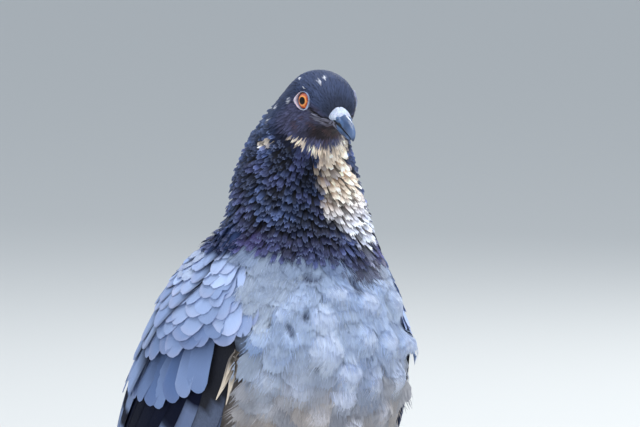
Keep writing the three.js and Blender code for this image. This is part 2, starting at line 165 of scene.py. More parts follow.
def catmull(rows, t):
    """Catmull-Rom curve through rows at place t, counted in rows and carried on past the ends.

    rows is (n, k), or (n, *t.shape, k) where every place has rows of its own.
    """
    t = np.asarray(t, float)
    last = len(rows) - 1
    i = np.clip(np.floor(t).astype(int), 0, last - 1)
    f = (t - i)[..., None]
    if rows.ndim == 2:
        row = lambda n: rows[np.clip(n, 0, last)]
    else:
        cells = np.indices(t.shape)
        row = lambda n: rows[(np.clip(n, 0, last), *cells)]
    a, b, c, d = row(i - 1), row(i), row(i + 1), row(i + 2)
    return b + .5 * f * (c - a + f * (2 * a - 5 * b + 4 * c - d + f * (3 * (b - c) + d - a)))


def noise(points, size, seed=0):
    """Smooth random values 0..1 that change over about size mm: hashed lattice corners, eased."""
    q = np.asarray(points, float) / size + seed * 17.31 + 900
    cell = np.floor(q).astype(np.int64)
    f = q - cell
    f = f * f * (3 - 2 * f)
    total = 0
    for corner in range(8):
        c = np.array([corner >> 2 & 1, corner >> 1 & 1, corner & 1])
        key = (cell + c) @ np.array([73856093, 19349663, 83492791]) + seed * 7919
        key = ((key ^ (key >> 13)) * 1274126177) & 0x7FFFFFFF
        total = total + np.prod(np.where(c, f, 1 - f), -1) * ((key >> 7) % 4096 / 4095)
    return total


def tone(r, g, b):
    """A screen colour 0..255 as linear light."""
    c = np.array([r, g, b]) / 255
    return np.where(c <= .04045, c / 12.92, ((c + .055) / 1.055) ** 2.4)


# ---------------- surfaces

def oval(rows, place, angle):
    """Oval loft: at angle 0 the back point, at half a turn the front point, half width sideways."""
    r = catmull(rows, place)
    back, front, half, bias = r[..., 0:2], r[..., 2:4], r[..., 4], r[..., 5]
    reach = np.cos(angle) + bias * np.sin(angle) ** 2
    mid = (back + front) / 2 + (back - front) / 2 * reach[..., None]
    return at(np.stack([half * np.sin(angle), mid[..., 0], mid[..., 1]], -1))


def grid(u_ends, rows, v_ends, cols):
    """Even grid of two parameters, both ends included."""
    return np.meshgrid(np.linspace(*u_ends, rows), np.linspace(*v_ends, cols), indexing="ij")


def carried_on(surface, u_ends, v_ends=None):
    """The surface carried on straight past the ends of its parameters."""
    def extended(u, v):
        u, v = np.broadcast_arrays(np.asarray(u, float), np.asarray(v, float))
        inner_u = np.clip(u, *u_ends)
        inner_v = v if v_ends is None else np.clip(v, *v_ends)
        p = surface(inner_u, inner_v)
        step = 1e-3
        for over, du, dv in ((u - inner_u, step, 0), (v - inner_v, 0, step)):
            out = np.abs(over) > 0
            if out.any():
                s, a, b = np.sign(over[out]), inner_u[out], inner_v[out]
                slope = (surface(a, b) - surface(a - s * du, b - s * dv)) * (s / step)[:, None]
                p[out] += slope * over[out][:, None]
        return p
    return extended


def wing_of(side):
    """Wing face of one side: s runs 0..1 from front edge to tip, t 0..1 from back to low edge."""
    def surface(s, t):
        lines = np.stack([catmull(line, s * 5) for line in WING])
        p = at(catmull(lines, t * 3))
        p[..., 0] *= side
        return p
    return carried_on(surface, (0, 1), (0, 1))


body = carried_on(lambda place, angle: oval(BODY, place, angle), (0, 16))


def tail_face(s, across):
    """Tail: straight from root to tip, arched across by the crown, across -1..1."""
    half = lerp(TAIL["root_half"], TAIL["tip_half"], s)
    ahead = lerp(TAIL["root"][0], TAIL["tip"][0], s)
    z = lerp(TAIL["root"][1], TAIL["tip"][1], s) - TAIL["crown"] * across ** 2
    return at(np.stack([half * across, ahead, z], -1))


def thigh_of(side):
    """Thigh: round sections along its path, seen from above; place 0..3, angle round it."""
    def surface(place, angle):
        r = catmull(THIGH, place)
        p = at(np.stack([r[..., 0] + .85 * r[..., 3] * np.cos(angle),
                         r[..., 1] + r[..., 3] * np.sin(angle), r[..., 2]], -1))
        p[..., 0] *= side
        return p
    return carried_on(surface, (0, 3))


def tangents(surface, u, v, step=2e-3):
    """Point, the two derivatives and the unit normal of a surface, by central differences."""
    pu = (surface(u + step, v) - surface(u - step, v)) / (2 * step)
    pv = (surface(u, v + step) - surface(u, v - step)) / (2 * step)
    return surface(u, v), pu, pv, unit(np.cross(pu, pv))


def frame_at(surface, u, v):
    """Point, derivatives and the normal turned outwards by the surface's sign."""
    p, pu, pv, n = tangents(surface, u, v)
    return p, pu, pv, n * surface.sign


def outward(surface, u, v, direction):
    """Gives a surface the sign that turns its normal at (u, v) towards direction."""
    _, _, _, n = tangents(surface, np.array([u]), np.array([v]))
    surface.sign = float(np.sign(n[0] @ np.array(direction, float)))
    return surface


outward(body, 6., np.pi, (0, -1, 0))
outward(tail_face, .5, 0., (0, 0, 1))


# How fast a wing's height over the body fades ahead of its front edge, in s.
FADE = .06


def shouldered(wing, side):
    """A wing face that follows the body ahead of its front edge.

    For each t the front edge has a nearest place and angle on the body and a height over
    it. Ahead of the edge (s < 0) the place grows at the wing's own pace, at that angle,
    and the height fades as e^(s / FADE).
    """
    place, angle = grid((4, 9), 160, (0, np.pi), 160)
    if side < 0:
        angle = TURN - angle
    p, pu, _, n = frame_at(body, place, angle)
    ts = np.linspace(0, 1, 31)
    edge = wing(0 * ts, ts)
    step = .02
    pace = np.linalg.norm(wing(0 * ts + step, ts) - edge, axis=-1) / step
    near = ((edge[:, None] - p.reshape(-1, 3)[None]) ** 2).sum(-1).argmin(1)
    take = lambda x: x.reshape(-1, *x.shape[2:])[near]
    height = ((edge - take(p)) * take(n)).sum(-1)
    start, turn, ratio = take(place), take(angle), pace / np.linalg.norm(take(pu), axis=-1)

    def surface(s, t):
        s, t = np.broadcast_arrays(np.asarray(s, float), np.asarray(t, float))
        p = wing(s, t)
        ahead = s < 0
        if ahead.any():
            sa, ta = s[ahead], np.clip(t[ahead], 0, 1)
            of_t = lambda values: np.interp(ta, ts, values)
            at_edge, _, _, n0 = frame_at(body, of_t(start), of_t(turn))
            q, _, _, n1 = frame_at(body, of_t(start) - sa * of_t(ratio), of_t(turn))
            fade = np.exp(sa / FADE)
            offset = wing(0 * sa, t[ahead]) - (at_edge + n0 * of_t(height)[:, None])
            p[ahead] = q + n1 * (of_t(height) * fade)[:, None] + offset
        return p
    return surface


WINGS = {side: outward(shouldered(wing_of(side), side), .3, .5, (side, 0, 0)) for side in (1, -1)}
THIGHS = {side: outward(thigh_of(side), 1., 0., (side, 0, 0)) for side in (1, -1)}


def solve(pu, pv, move):
    """Parameter change for a small move in the tangent plane: the 2 x 2 metric system."""
    e, f, g = dot(pu, pu), dot(pu, pv), dot(pv, pv)
    a, b = dot(move, pu), dot(move, pv)
    det = np.maximum(e * g - f * f, 1e-9)
    return ((a * g - b * f) / det)[..., 0], ((b * e - a * f) / det)[..., 0]


def walk(surface, u, v, heading, length, rows):
    """Straight lines over a surface: even steps, the direction carried along the surface."""
    track = []
    move = (length / (rows - 1))[:, None]
    for _ in range(rows):
        _, pu, pv, n = frame_at(surface, u, v)
        heading = unit(heading - dot(heading, n) * n)
        track.append((u, v, heading))
        du, dv = solve(pu, pv, heading * move)
        u, v = u + du, v + dv
    return [np.stack(part, 1) for part in zip(*track)]


def track_of(surface, u, v):
    """Feather lines given by their own parameters, with directions from the points."""
    p = surface(u, v)
    return u, v, unit(np.gradient(p, axis=1))


def scatter(surface, u_range, v_range, spacing, count, rng, keep=None):
    """Random roots at least spacing apart: candidates spread by area, then nearer ones dropped.

    spacing and keep are functions of points and parameters.
    """
    tries = count * 4
    u = rng.uniform(*u_range, tries)
    v = rng.uniform(*v_range, tries)
    p, pu, pv, _ = frame_at(surface, u, v)
    area = np.linalg.norm(np.cross(pu, pv), axis=-1)
    need = area / spacing(p, u, v) ** 2
    ok = rng.random(len(u)) < need / need.max()
    if keep is not None:
        ok &= keep(p, u, v)
    p, u, v = p[ok], u[ok], v[ok]
    apart = spacing(p, u, v)
    tree = kdtree.KDTree(len(p))
    for i, q in enumerate(p):
        tree.insert(q, i)
    tree.balance()
    alive = np.ones(len(p), bool)
    for i, q in enumerate(p):
        if alive[i]:
            near = [j for _, j, _ in tree.find_range(q, float(apart[i])) if j > i]
            alive[near] = False
    return u[alive], v[alive], p[alive]


# ---------------- feathers

def feather(surface, track, width, *, cols=5, lift=(-1.5, 0), rise=1., cup=.06, twist=0, tip=.5,
            base=.4, narrow=0, fringe=0, curl=0, thick=.12, jitter=0, rng=None, ground=None, slant=.35):
    """Closed thin vanes on a surface.

    Each is a grid, rows along its line and cols across. Half width grows from base to full
    over the first half and may narrow towards the tip. The sides are shortened by
    tip * width * (1 - sqrt(1 - c^2)), which rounds the end, and by a random fringe. Height
    over the surface goes from lift[0] to lift[1] as along^rise, plus a crown (cup), a
    sideways lean (twist), a curl at the end, a random share of its own (jitter) and what lies
    under it (ground).
    """
    u, v, t = track
    n, rows = u.shape
    _, pu, pv, normal = frame_at(surface, u, v)
    side = np.cross(normal, t)
    a = np.linspace(0, 1, rows)[None, :, None]
    c = np.linspace(-1, 1, cols)[None, None, :]
    points = surface(u, v)
    length = np.linalg.norm(np.diff(points, axis=1), axis=-1).sum(1)[:, None, None]
    each = lambda values: (np.asarray(values, float) * np.ones(n))[:, None, None]
    wide = each(width)
    half = wide / 2 * (base + (1 - base) * ease(a, 0, .5)) * (1 - narrow * a ** 3)
    rag = rng.random((n, 1, cols)) if rng is not None else 0
    zigzag = (np.arange(cols) % 2)[None, None, :]
    short = tip * wide * (1 - np.sqrt(1 - (.97 * c) ** 2)) * a ** 2
    short = short + fringe * length * (.6 * rag + .4 * zigzag) * a ** 4
    move = side[:, :, None] * (half * c)[..., None] - t[:, :, None] * short[..., None]
    du, dv = solve(pu[:, :, None], pv[:, :, None], move)
    q, _, _, out = frame_at(surface, u[..., None] + du, v[..., None] + dv)
    start, end = each(lift[0]), each(lift[1])
    h = start + (end - start) * a ** rise
    h = h + cup * wide * (1 - c ** 2) * ease(a, 0, .6) + curl * wide * a ** 4
    h = h + each(twist) * c * wide / 2 + each(jitter)
    height = h
    if ground is not None:
        h = h + ground(u[..., None] + du, v[..., None] + dv)
    top = q + out * h[..., None]
    under = top[:, 1:-1, 1:-1] - out[:, 1:-1, 1:-1] * thick
    across = half * c * np.ones_like(a)
    along = a * length - short
    barb = across - np.sign(across) * slant * along
    number = np.arange(n)[:, None, None] * np.ones_like(barb)
    vane = np.stack([barb, along + np.abs(across) * slant, number], -1)
    return dict(top=top, under=under, vane=vane, a=np.broadcast_to(a, h.shape),
                c=np.broadcast_to(c, h.shape), u=u, v=v, p=points, side=across, along=along,
                place=u[..., None] + du, angle=v[..., None] + dv, height=height)


def barbs(surface, b, count, width, over, rng, ground=None, splay=.25):
    """Fine barbs along the outer half of each vane.

    Each starts at the vane's middle row, follows its column to the tip, a little splayed,
    and ends past the tip by over. It lies just above the vane and takes its colour.
    """
    n, rows, cols = b["a"].shape
    start = rows - 3
    column = (np.arange(count) + rng.uniform(.1, .9, (n, count))) / count * (cols - 1.001)
    i, j = np.arange(n)[:, None], column.astype(int)
    pick = lambda values, row: values[i, row, j].reshape(n * count, *values.shape[3:])
    p0, p1 = pick(b["top"], start), pick(b["top"], rows - 1)
    u, v = pick(b["place"], start), pick(b["angle"], start)
    _, _, _, normal = frame_at(surface, u, v)
    run = p1 - p0
    aside = unit(np.cross(normal, run))
    c = pick(b["c"], start)
    heading = unit(unit(run) + aside * (splay * c + .12 * rng.standard_normal(n * count))[:, None])
    length = np.linalg.norm(run, axis=-1) + over * rng.random(n * count) ** 1.5
    track = walk(surface, u, v, heading, length, 4)
    root_lift = pick(b["height"], start) + .05
    tip_lift = pick(b["height"], rows - 1) + .08 + .3 * rng.random(n * count) ** 2
    fine = feather(surface, track, width * rng.uniform(.6, 1.3, n * count), cols=3,
                   lift=(root_lift, tip_lift), cup=.12, tip=.8, base=.8, narrow=.8, thick=.07, rng=rng,
                   ground=ground)
    colour = pick(b["colour"], rows - 2)[:, None, None]
    rgb = colour[..., :3] * rng.uniform(.86, 1.14, n * count)[:, None, None, None]
    return with_colour(fine, rgb, colour[..., 3])


def vane_faces(rows, cols):
    """Quads of one closed vane: the top grid, and a bottom that shares its rim."""
    top = np.arange(rows * cols).reshape(rows, cols)
    bottom = top.copy()
    bottom[1:-1, 1:-1] = rows * cols + np.arange((rows - 2) * (cols - 2)).reshape(rows - 2, -1)
    quads = lambda g: np.stack([g[:-1, :-1], g[:-1, 1:], g[1:, 1:], g[1:, :-1]], -1).reshape(-1, 4)
    return np.concatenate([quads(top)[:, ::-1], quads(bottom)])


def write_mesh(name, points, faces, attributes=None, uv=None, rim=None):
    """A mesh object from frame points in mm, lists of quads and triangles, attributes and UVs.

    Edges whose two ends are both on the rim are sharp.
    """
    mesh = bpy.data.meshes.new(name)
    sizes = np.concatenate([np.full(len(f), f.shape[1]) for f in faces])
    corners = np.concatenate([f.ravel() for f in faces]).astype(np.int32)
    mesh.vertices.add(len(points))
    mesh.vertices.foreach_set("co", (points * MM).astype(np.float32).ravel())
    mesh.loops.add(len(corners))
    mesh.loops.foreach_set("vertex_index", corners)
    mesh.polygons.add(len(sizes))
    mesh.polygons.foreach_set("loop_start", np.concatenate([[0], np.cumsum(sizes)[:-1]]).astype(np.int32))
    mesh.polygons.foreach_set("use_smooth", np.ones(len(sizes), bool))
    mesh.update(calc_edges=True)
    if rim is not None:
        ends = np.empty(2 * len(mesh.edges), np.int32)
        mesh.edges.foreach_get("vertices", ends)
        sharp = mesh.attributes.new("sharp_edge", "BOOLEAN", "EDGE")
        sharp.data.foreach_set("value", rim[ends.reshape(-1, 2)].all(1))
    for key, values in (attributes or {}).items():
        kind, field = ("FLOAT_COLOR", "color") if values.shape[1] == 4 else ("FLOAT_VECTOR", "vector")
        layer = mesh.attributes.new(key, kind, "POINT")
        layer.data.foreach_set(field, values.astype(np.float32).ravel())
    for key, values in (uv or {}).items():
        layer = mesh.uv_layers.new(name=key)
        layer.data.foreach_set("uv", values[corners].astype(np.float32).ravel())
    mesh.validate()
    thing = bpy.data.objects.new(name, mesh)
    bpy.context.scene.collection.objects.link(thing)
    return thing


def coat(name, batches, material, unwrap):
    """Joins batches of vanes in one piece. unwrap maps a root's parameters to 0..1 squares."""
    points, faces, colour, vane, patch, rims = [], [], [], [], [], []
    first = 0
    for b in batches:
        n, rows, cols, _ = b["top"].shape
        rim = np.ones((rows, cols), bool)
        rim[1:-1, 1:-1] = False
        rims.append(np.tile(np.concatenate([rim.ravel(), np.zeros((rows - 2) * (cols - 2), bool)]), n))
        inner = lambda x: x[:, 1:-1, 1:-1].reshape(n, -1, x.shape[-1])
        full = lambda x: np.concatenate([x.reshape(n, rows * cols, -1), inner(x)], 1)
        p = np.concatenate([b["top"].reshape(n, -1, 3), b["under"].reshape(n, -1, 3)], 1)
        quads = vane_faces(rows, cols)
        count = p.shape[1]
        faces.append((quads[None] + first + np.arange(n)[:, None, None] * count).reshape(-1, 4))
        first += n * count
        points.append(p.reshape(-1, 3))
        colour.append(full(b["colour"]).reshape(-1, 4))
        vane.append(full(b["vane"]).reshape(-1, 3))
        size = b.get("patch", .003)
        spread = np.stack([b["c"] * .5, b["a"] - .5], -1) * np.asarray(size)
        centre = unwrap(b["u"][:, 0], b["v"][:, 0], b)
        patch.append(full(spread + centre[:, None, None]).reshape(-1, 2))
    thing = write_mesh(name, np.concatenate(points), [np.concatenate(faces)],
                       {"plumage": np.concatenate(colour), "vane": np.concatenate(vane)},
                       {"OFBake": np.concatenate(patch)}, np.concatenate(rims))
    thing.data.materials.append(material)
    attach(thing, "root")
    return thing


def with_colour(batch, rgb, gloss=0.):
    """Adds the linear colour, with the gloss as its fourth number."""
    shape = batch["a"].shape
    full = np.empty((*shape, 4))
    full[..., :3] = np.broadcast_to(rgb, (*shape, 3))
    full[..., 3] = np.broadcast_to(gloss, shape)
    batch["colour"] = np.clip(full, 0, 1)
    return batch


# ---------------- markings

# painted highlight at the tips of the dark neck feathers, standing for their sheen
HACKLE_TIP_HIGHLIGHT = tone(96, 109, 144)
CROWN = tone(56, 68, 99)
FOREHEAD = tone(42, 50, 72)
CHEEK = tone(74, 76, 106)
CHIN = tone(38, 32, 40)
GAPE_GREY = tone(134, 134, 152)
BROWN_TINT = tone(76, 54, 56)
NAPE = tone(58, 74, 106)
NAVY = tone(14, 21, 44)
NECK_BLUE = tone(60, 77, 120)
VIOLET = tone(76, 80, 128)
MAGENTA = tone(108, 80, 164)
DUSK_BLUE = tone(104, 126, 172)
CREAM = tone(244, 230, 212)
WHITE = tone(225, 228, 238)
APRICOT = tone(230, 196, 162)
COOL_WHITE = tone(214, 222, 242)
PALE_BLUE = tone(192, 214, 252)
SOFT_BLUE = tone(148, 174, 218)
BEIGE = tone(194, 184, 180)
BELLY_GREY = tone(168, 169, 180)
BACK_GREY = tone(150, 168, 208)
RUMP_PALE = tone(196, 202, 214)
VENT_GREY = tone(130, 140, 160)
# brown down in painted shade, for the gap beside the wing's low edge
SHADED_DOWN_BROWN = tone(58, 52, 58)

# Where the neck's dark feathers end, as angle -> place.
NECK_EDGE = ([0, 1., 1.4, 2., 2.6, 3.14, 3.6, 4.3, 4.6, 4.95, 5.4, TURN],
             [6.75, 6.85, 7.15, 7.55, 7.66, 7.83, 7.85, 7.76, 7.45, 7.2, 6.85, 6.75])

# The cream blaze of the throat: place, centre angle, half angle of its two arms.
BLAZE_LEFT = np.array([[10.5, 2.9, .22], [10.82, 3.05, .3], [11.07, 3.25, .32], [11.22, 3.5, .3],
                       [11.33, 3.78, .24], [11.4, 4.0, .12]])
BLAZE_RIGHT = np.array([[8.1, 2.2, .25], [8.3, 2.28, .4], [8.6, 2.38, .52], [9., 2.5, .58],
                        [9.4, 2.62, .55], [9.8, 2.72, .5], [10.3, 2.7, .42], [10.8, 2.55, .34],
                        [11.2, 2.45, .26], [11.7, 2.4, .2]])
# White flecks: place, angle, radius in mm.
FLECKS = [(14.08, 5.80, 1.1), (14.02, 6.08, .9), (12.55, 4.75, 1.2), (11.69, 5.08, 1.3),
          (11.14, 5.03, 1.2), (13.15, 5.44, .9), (12.9, 5.5, .8), (10.63, 4.50, 2.4), (10.5, 4.62, 1.8),
          (13.6, 5.2, .6), (12.35, 1.7, 1.0), (11.4, 1.4, 1.2)]


def off_gape(p):
    """Distance from the gape line, seen from the side."""
    ahead_z = np.stack([SHIFT - p[..., 1], p[..., 2]], -1)
    best = np.full(p.shape[:-1], 99.)
    for a, b in zip(GAPE[:-1], GAPE[1:]):
        run = b - a
        share = np.clip(((ahead_z - a) @ run) / (run @ run), 0, 1)
        best = np.minimum(best, np.linalg.norm(ahead_z - a - share[..., None] * run, axis=-1))
    return best


def neck_edge(angle):
    """Place where the neck's dark feathers end at an angle."""
    return np.interp(np.mod(angle, TURN), *NECK_EDGE)


def blaze(place, angle, rough):
    """How far a spot is inside the blaze, 0..1; rough moves its edges."""
    inside = 0
    for arm in (BLAZE_LEFT, BLAZE_RIGHT):
        # an arm that lies across the neck is followed by its angle
        steep = arm[-1, 1] - arm[0, 1] > .9
        along, across, rate = (angle, place, .75) if steep else (place, angle, 1.)
        line, shift = (arm[:, 1], arm[:, 0]) if steep else (arm[:, 0], arm[:, 1])
        centre, half = np.interp(along, line, shift), np.interp(along, line, arm[:, 2]) * rate
        ends = ease(along, line[0] - .12, line[0] + .1)
        ends = ends * (1 - ease(along, line[-1] - .05, line[-1] + .12))
        off = np.abs(across - centre) / half + rough * (1.6 if steep else 1.)
        inside = np.maximum(inside, (1 - ease(off, .75, 1.1)) * ends)
    inside = inside * (1 - .85 * ease(rough, .14, .22) * ease(place, 9.3, 9.9))
    # mottling between the arms
    between = ease(place, 9.7, 10.1) * (1 - ease(place, 11.1, 11.4))
    between = between * (1 - ease(np.abs(angle - 2.86), .35, .5))
    return np.maximum(inside, between * ease(rough, .02, .12) * .8)


def trunk_colour(p, place, to_front, broad, fine):
    """Trunk: pale blue above, beige and grey below, pale rump and grey vent."""
    breast = mix(PALE_BLUE, SOFT_BLUE, ease(place, 7.25, 7.8) * .4 + .25 * (fine - .5))
    low_down = 1 - ease(p[..., 2] + 16 * (broad - .5), 126, 164)
    breast = mix(breast, mix(BELLY_GREY, BEIGE, ease(fine, .3, .62)), low_down * .9)
    breast = mix(breast, VENT_GREY, 1 - ease(place, 1.2, 2.8))
    back = mix(BACK_GREY, RUMP_PALE, 1 - ease(place, 1.6, 2.8))
    return mix(breast, back, 1 - ease(to_front, .9, 1.5))


def neck_colour(p, place, to_front, above_edge, fine):
    """Neck: navy with violet, magenta low at the sides, slate at the nape."""
    bluish = .9 * ease(fine, .35, .75) + .3 * (1 - ease(to_front, 1.2, 2.2))
    neck = mix(NAVY, NECK_BLUE, np.clip(bluish, 0, 1))
    neck = mix(neck, VIOLET, ease(noise(p, 6, 5), .55, .8) * .55)
    neck = mix(neck, VIOLET, (1 - ease(above_edge, .35, 1.05)) * .4)
    ring = np.exp(-((above_edge - .25) / .22) ** 2) * np.exp(-((to_front - 1.9) / .32) ** 2)
    neck = mix(neck, MAGENTA, np.clip(ring * (.2 + .8 * fine), 0, 1) * .7)
    return mix(neck, NAPE, ease(place, 9.8, 11.2) * (1 - ease(to_front, .9, 1.9)))


def head_colour(p, place, to_front, fine, tiny):
    """Head: slate crown, dusky cheeks, dark chin, grey skin below the gape and a dark gape line, partly
    painted shade in the mouth's crease.
    """
    head = mix(CROWN, CHEEK, ease(to_front + .25 * (fine - .5), 1.35, 1.75))
    head = mix(head, FOREHEAD, ease(place, 14.6, 15.5) * (1 - ease(to_front, 1.3, 1.8)))
    head = mix(head, CHIN, ease(to_front, 2.2, 2.75) * ease(place, 11.6, 12.2))
    line = off_gape(p)
    forward = SHIFT - p[..., 1]
    over_gape = p[..., 2] - np.interp(forward, GAPE[:, 0], GAPE[:, 1])
    patch = ease(forward, 43.2, 47.) * ease(-over_gape, .2, .9) * (1 - ease(-over_gape, 3.4, 5.6))
    head = mix(head, mix(GAPE_GREY, CHIN, ease(noise(p, .8, 23), .5, .75)), patch * .95)
    lore = np.hypot((forward - 46.6) / 3.6, (p[..., 2] - 255) / 1.7)
    head = mix(head, CHIN, (1 - ease(lore, .4, 1.1)) * .7)
    head = mix(head, BROWN_TINT, ease(noise(p, 2.6, 24), .55, .75) * ease(to_front, 1.7, 2.2) * .5)
    head = head * ((.9 + .2 * tiny) * (.8 + .4 * noise(p, 1.5, 27)))[..., None]
    # dark gape line: partly painted shade in the mouth's crease
    on_line = (1 - ease(line, .25, .75)) * (np.abs(p[..., 0]) > 2) * ease(forward, 45., 46.3)
    return mix(head, CHIN * .3, on_line)


def body_colour(p, place, angle):
    """Markings of trunk, neck and head as a function of the place on the body."""
    angle = np.mod(angle, TURN)
    to_front = around(angle)
    broad, fine, tiny = noise(p, 22, 1), noise(p, 7, 2), noise(p, 2.2, 3)
    colour = trunk_colour(p, place, to_front, broad, fine)
    edge = neck_edge(angle)
    neck = neck_colour(p, place, to_front, place - edge, fine)
    front = ease(angle, 2.8, 3.15) * (1 - ease(angle, 4.5, 5.))
    colour = mix(colour, DUSK_BLUE, ease(place, edge - .2, edge + .25) * front * .8)
    hackled = ease(place + .12 * (fine - .5), edge - .14 + .34 * front, edge + .02 + .34 * front)
    colour = mix(colour, neck, hackled)
    head = head_colour(p, place, to_front, fine, tiny)
    colour = mix(colour, head, ease(place + .25 * (fine - .5), 11.1, 11.8))
    rough = .55 * (fine - .5) + .5 * (tiny - .5)
    cream = mix(CREAM, APRICOT, ease(noise(p, 3.2, 19), .5, .8) * .4)
    cream = mix(cream, COOL_WHITE, 1 - ease(place, 8.5, 9.5))
    colour = mix(colour, cream, blaze(place, angle, rough))
    for fleck_place, fleck_angle, radius in FLECKS:
        spot = body(np.array([fleck_place]), np.array([fleck_angle]))[0]
        away = np.linalg.norm(p - spot, axis=-1) + .8 * (tiny - .5)
        on_head = fleck_place > 11
        colour = mix(colour, WHITE if on_head else CREAM, .8 * (1 - ease(away, radius * .6, radius * 1.1)))
    return colour


# How far round the body the wing's coverts and the gap beside them reach: place -> angle.
FLAP_EDGE = ([4.9, 6.65, 6.95, 7.1, 7.25, 7.4, 7.5], [2.3, 2.3, 2.17, 2.06, 1.97, 1.87, 1.8])

# Pillows of loose feathers on breast and belly: place, angle, half width, half length and
# height in mm, and how much painted light they get (over 1 brighter, under 1 darker).
PILLOWS = np.array([
    [7.08, 3.34, 6.8, 6.2, 2.3, 1.1], [6.62, 3.32, 7.6, 8.2, 3.3, 1.16], [7.32, 3.62, 5.8, 4.6, 1.3, 1.04],
    [7.52, 3.13, 8.5, 4.4, 1.8, 1.02], [7.06, 3.8, 5.2, 5.2, 1.5, .98], [6.71, 3.66, 4.8, 5., 1.4, .94],
    [6.59, 3.97, 6.2, 6.2, 1.6, .92], [7.29, 2.73, 7., 5.6, 2., 1.04], [7.03, 2.22, 6.5, 7.5, 2., 1.02],
    [6.77, 2.86, 6.2, 5.6, 2., .98], [6.57, 2.54, 6.2, 5.8, 2., 1.02], [6.07, 2.04, 5.5, 7.5, 1.5, .98],
    [6.32, 3.08, 6.2, 5.4, 2.4, 1.14], [5.98, 2.46, 5.6, 5.6, 2.4, 1.16], [6.1, 2.8, 5.4, 4.6, 1.6, 1.],
    [6., 3.84, 7.2, 5.6, 1.5, .94], [6.03, 3.55, 7.6, 5.4, 1.5, .96], [6., 3.12, 6.2, 5., 2.2, 1.12],
    [5.69, 2.65, 6.4, 5.6, 1.6, 1.], [5.68, 3.76, 7.6, 4.8, 1.4, .95], [5.77, 3.34, 6.8, 4.8, 1.6, 1.],
    [5.66, 3., 5.6, 4.2, 1.6, 1.06], [5.35, 3.5, 7.4, 6., 1.6, 1.], [5.25, 3.05, 7., 5.6, 1.8, 1.06],
    [5.2, 2.6, 7.2, 5.8, 1.6, 1.], [4.9, 3.75, 7.5, 6., 1.4, .98], [4.85, 3.3, 7.6, 5.6, 1.6, 1.],
    [4.8, 2.85, 7.6, 6.2, 1.6, 1.04], [4.7, 2.4, 7.2, 6.4, 1.4, 1.], [4.35, 3.55, 8., 6.5, 1.3, 1.],
    [4.3, 3.05, 8., 6.5, 1.4, 1.02], [4.25, 2.6, 8., 6.5, 1.3, 1.], [6.35, 2.25, 5.5, 5.5, 1.6, 1.04],
    [7.45, 2.45, 6., 4.6, 1.4, .98], [3.8, 3.3, 9., 7., 1.2, 1.], [3.75, 2.8, 9., 7., 1.2, 1.]])
# Slits between them, darkened with painted shade over the slate feather bases: place, angle, half length and
# half width in mm, lean in degrees.
SLITS = np.array([[7.76, 3.47, 6.2, 1.5, 0], [7.12, 3.53, 2.4, 1.4, 80], [6.82, 3.68, 4.2, 1.3, 62],
                  [7.62, 2.87, 4.2, 1.3, 55], [6.97, 3.02, 5.2, 1., 5], [6.36, 3.38, 2., 1.3, 20],
                  [6.8, 3.9, 2.6, .6, 50], [6.42, 2.83, 2.8, .5, 20], [6.2, 2.66, 2.4, .5, 60]])
# colour of the painted shade in the slits
SLIT_DARK = tone(44, 54, 88)
LEG_RED = tone(176, 78, 72)
LEG_PINK = tone(206, 118, 106)

# Where the tips of a row of coverts lie, as t -> s.
TIPS = {
    "greater": ([.4, .5, .6, .68, .735, .79, .845, .87], [.5, .46, .41, .37, .335, .27, .2, .17]),
    "median": ([.26, .38, .48, .57, .65, .71, .79, .895, 1.01],
               [.44, .39, .35, .3, .24, .18, .1, .05, -.08]),
}
# Where the dark bar ends and where the secondaries' tips lie, as t -> s.
BAR_END = ([0, .2, .4, .6, .75, .79, .81, .83, .85, .87, .89, .95],
           [.70, .66, .60, .56, .50, .43, .375, .33, .275, .235, .2, .14])
SECONDARY_TIPS = ([.2, .3, .4, .5, .6, .7, .8, .875, .96], [.74, .72, .69, .66, .62, .58, .52, .46, .4])

COVERT = tone(174, 194, 234)
COVERT_DEEP = tone(100, 124, 172)
PINKISH = tone(196, 192, 214)
BAR = tone(13, 18, 38)
SECONDARY = tone(110, 122, 152)
PRIMARY = tone(52, 58, 74)
PRIMARY_TIP = tone(30, 33, 42)
SCAPULAR = tone(152, 172, 212)


def wing_colour(p, s, t):
    """Markings of the folded wing: pale coverts, a dark bar, grey, a second bar, dark primaries."""
    fine = noise(p, 9, 11)
    end = np.interp(t, *BAR_END)
    tips = np.interp(t, *SECONDARY_TIPS)
    grey = mix(SECONDARY, COVERT_DEEP, .35 * fine)
    colour = mix(np.broadcast_to(BAR, (*np.shape(t), 3)), grey, ease(s - end, -.006, .006))
    colour = mix(colour, BAR, ease(s - tips, -.105, -.09) * (1 - ease(s - tips, -.03, -.02)))
    return mix(colour, mix(PRIMARY, PRIMARY_TIP, ease(s, .7, .95)), ease(s - tips, .0, .02))


# ---------------- shader tools

class Value:
    """A socket that adds Math nodes when it is used in an expression."""

    def __init__(self, tree, socket):
        self.tree, self.socket = tree, socket

    def _math(self, operation, a, b):
        """The Math node of two sockets or numbers."""
        return node(self.tree, "ShaderNodeMath", dict(operation=operation), {0: a, 1: b})

    def __add__(self, other):
        return self._math("ADD", self, other)

    def __radd__(self, other):
        return self._math("ADD", other, self)

    def __sub__(self, other):
        return self._math("SUBTRACT", self, other)

    def __rsub__(self, other):
        return self._math("SUBTRACT", other, self)

    def __mul__(self, other):
        return self._math("MULTIPLY", self, other)

    def __rmul__(self, other):
        return self._math("MULTIPLY", other, self)


def node(tree, kind, settings=None, inputs=None, output=0):
    """Adds a node: its settings first, then the values or links of its sockets."""
    made = tree.nodes.new(kind)
    for key, value in (settings or {}).items():
        setattr(made, key, value)
    for key, value in (inputs or {}).items():
        if isinstance(value, Value):
            tree.links.new(value.socket, made.inputs[key])
        else:
            made.inputs[key].default_value = value
    return Value(tree, made.outputs[output])


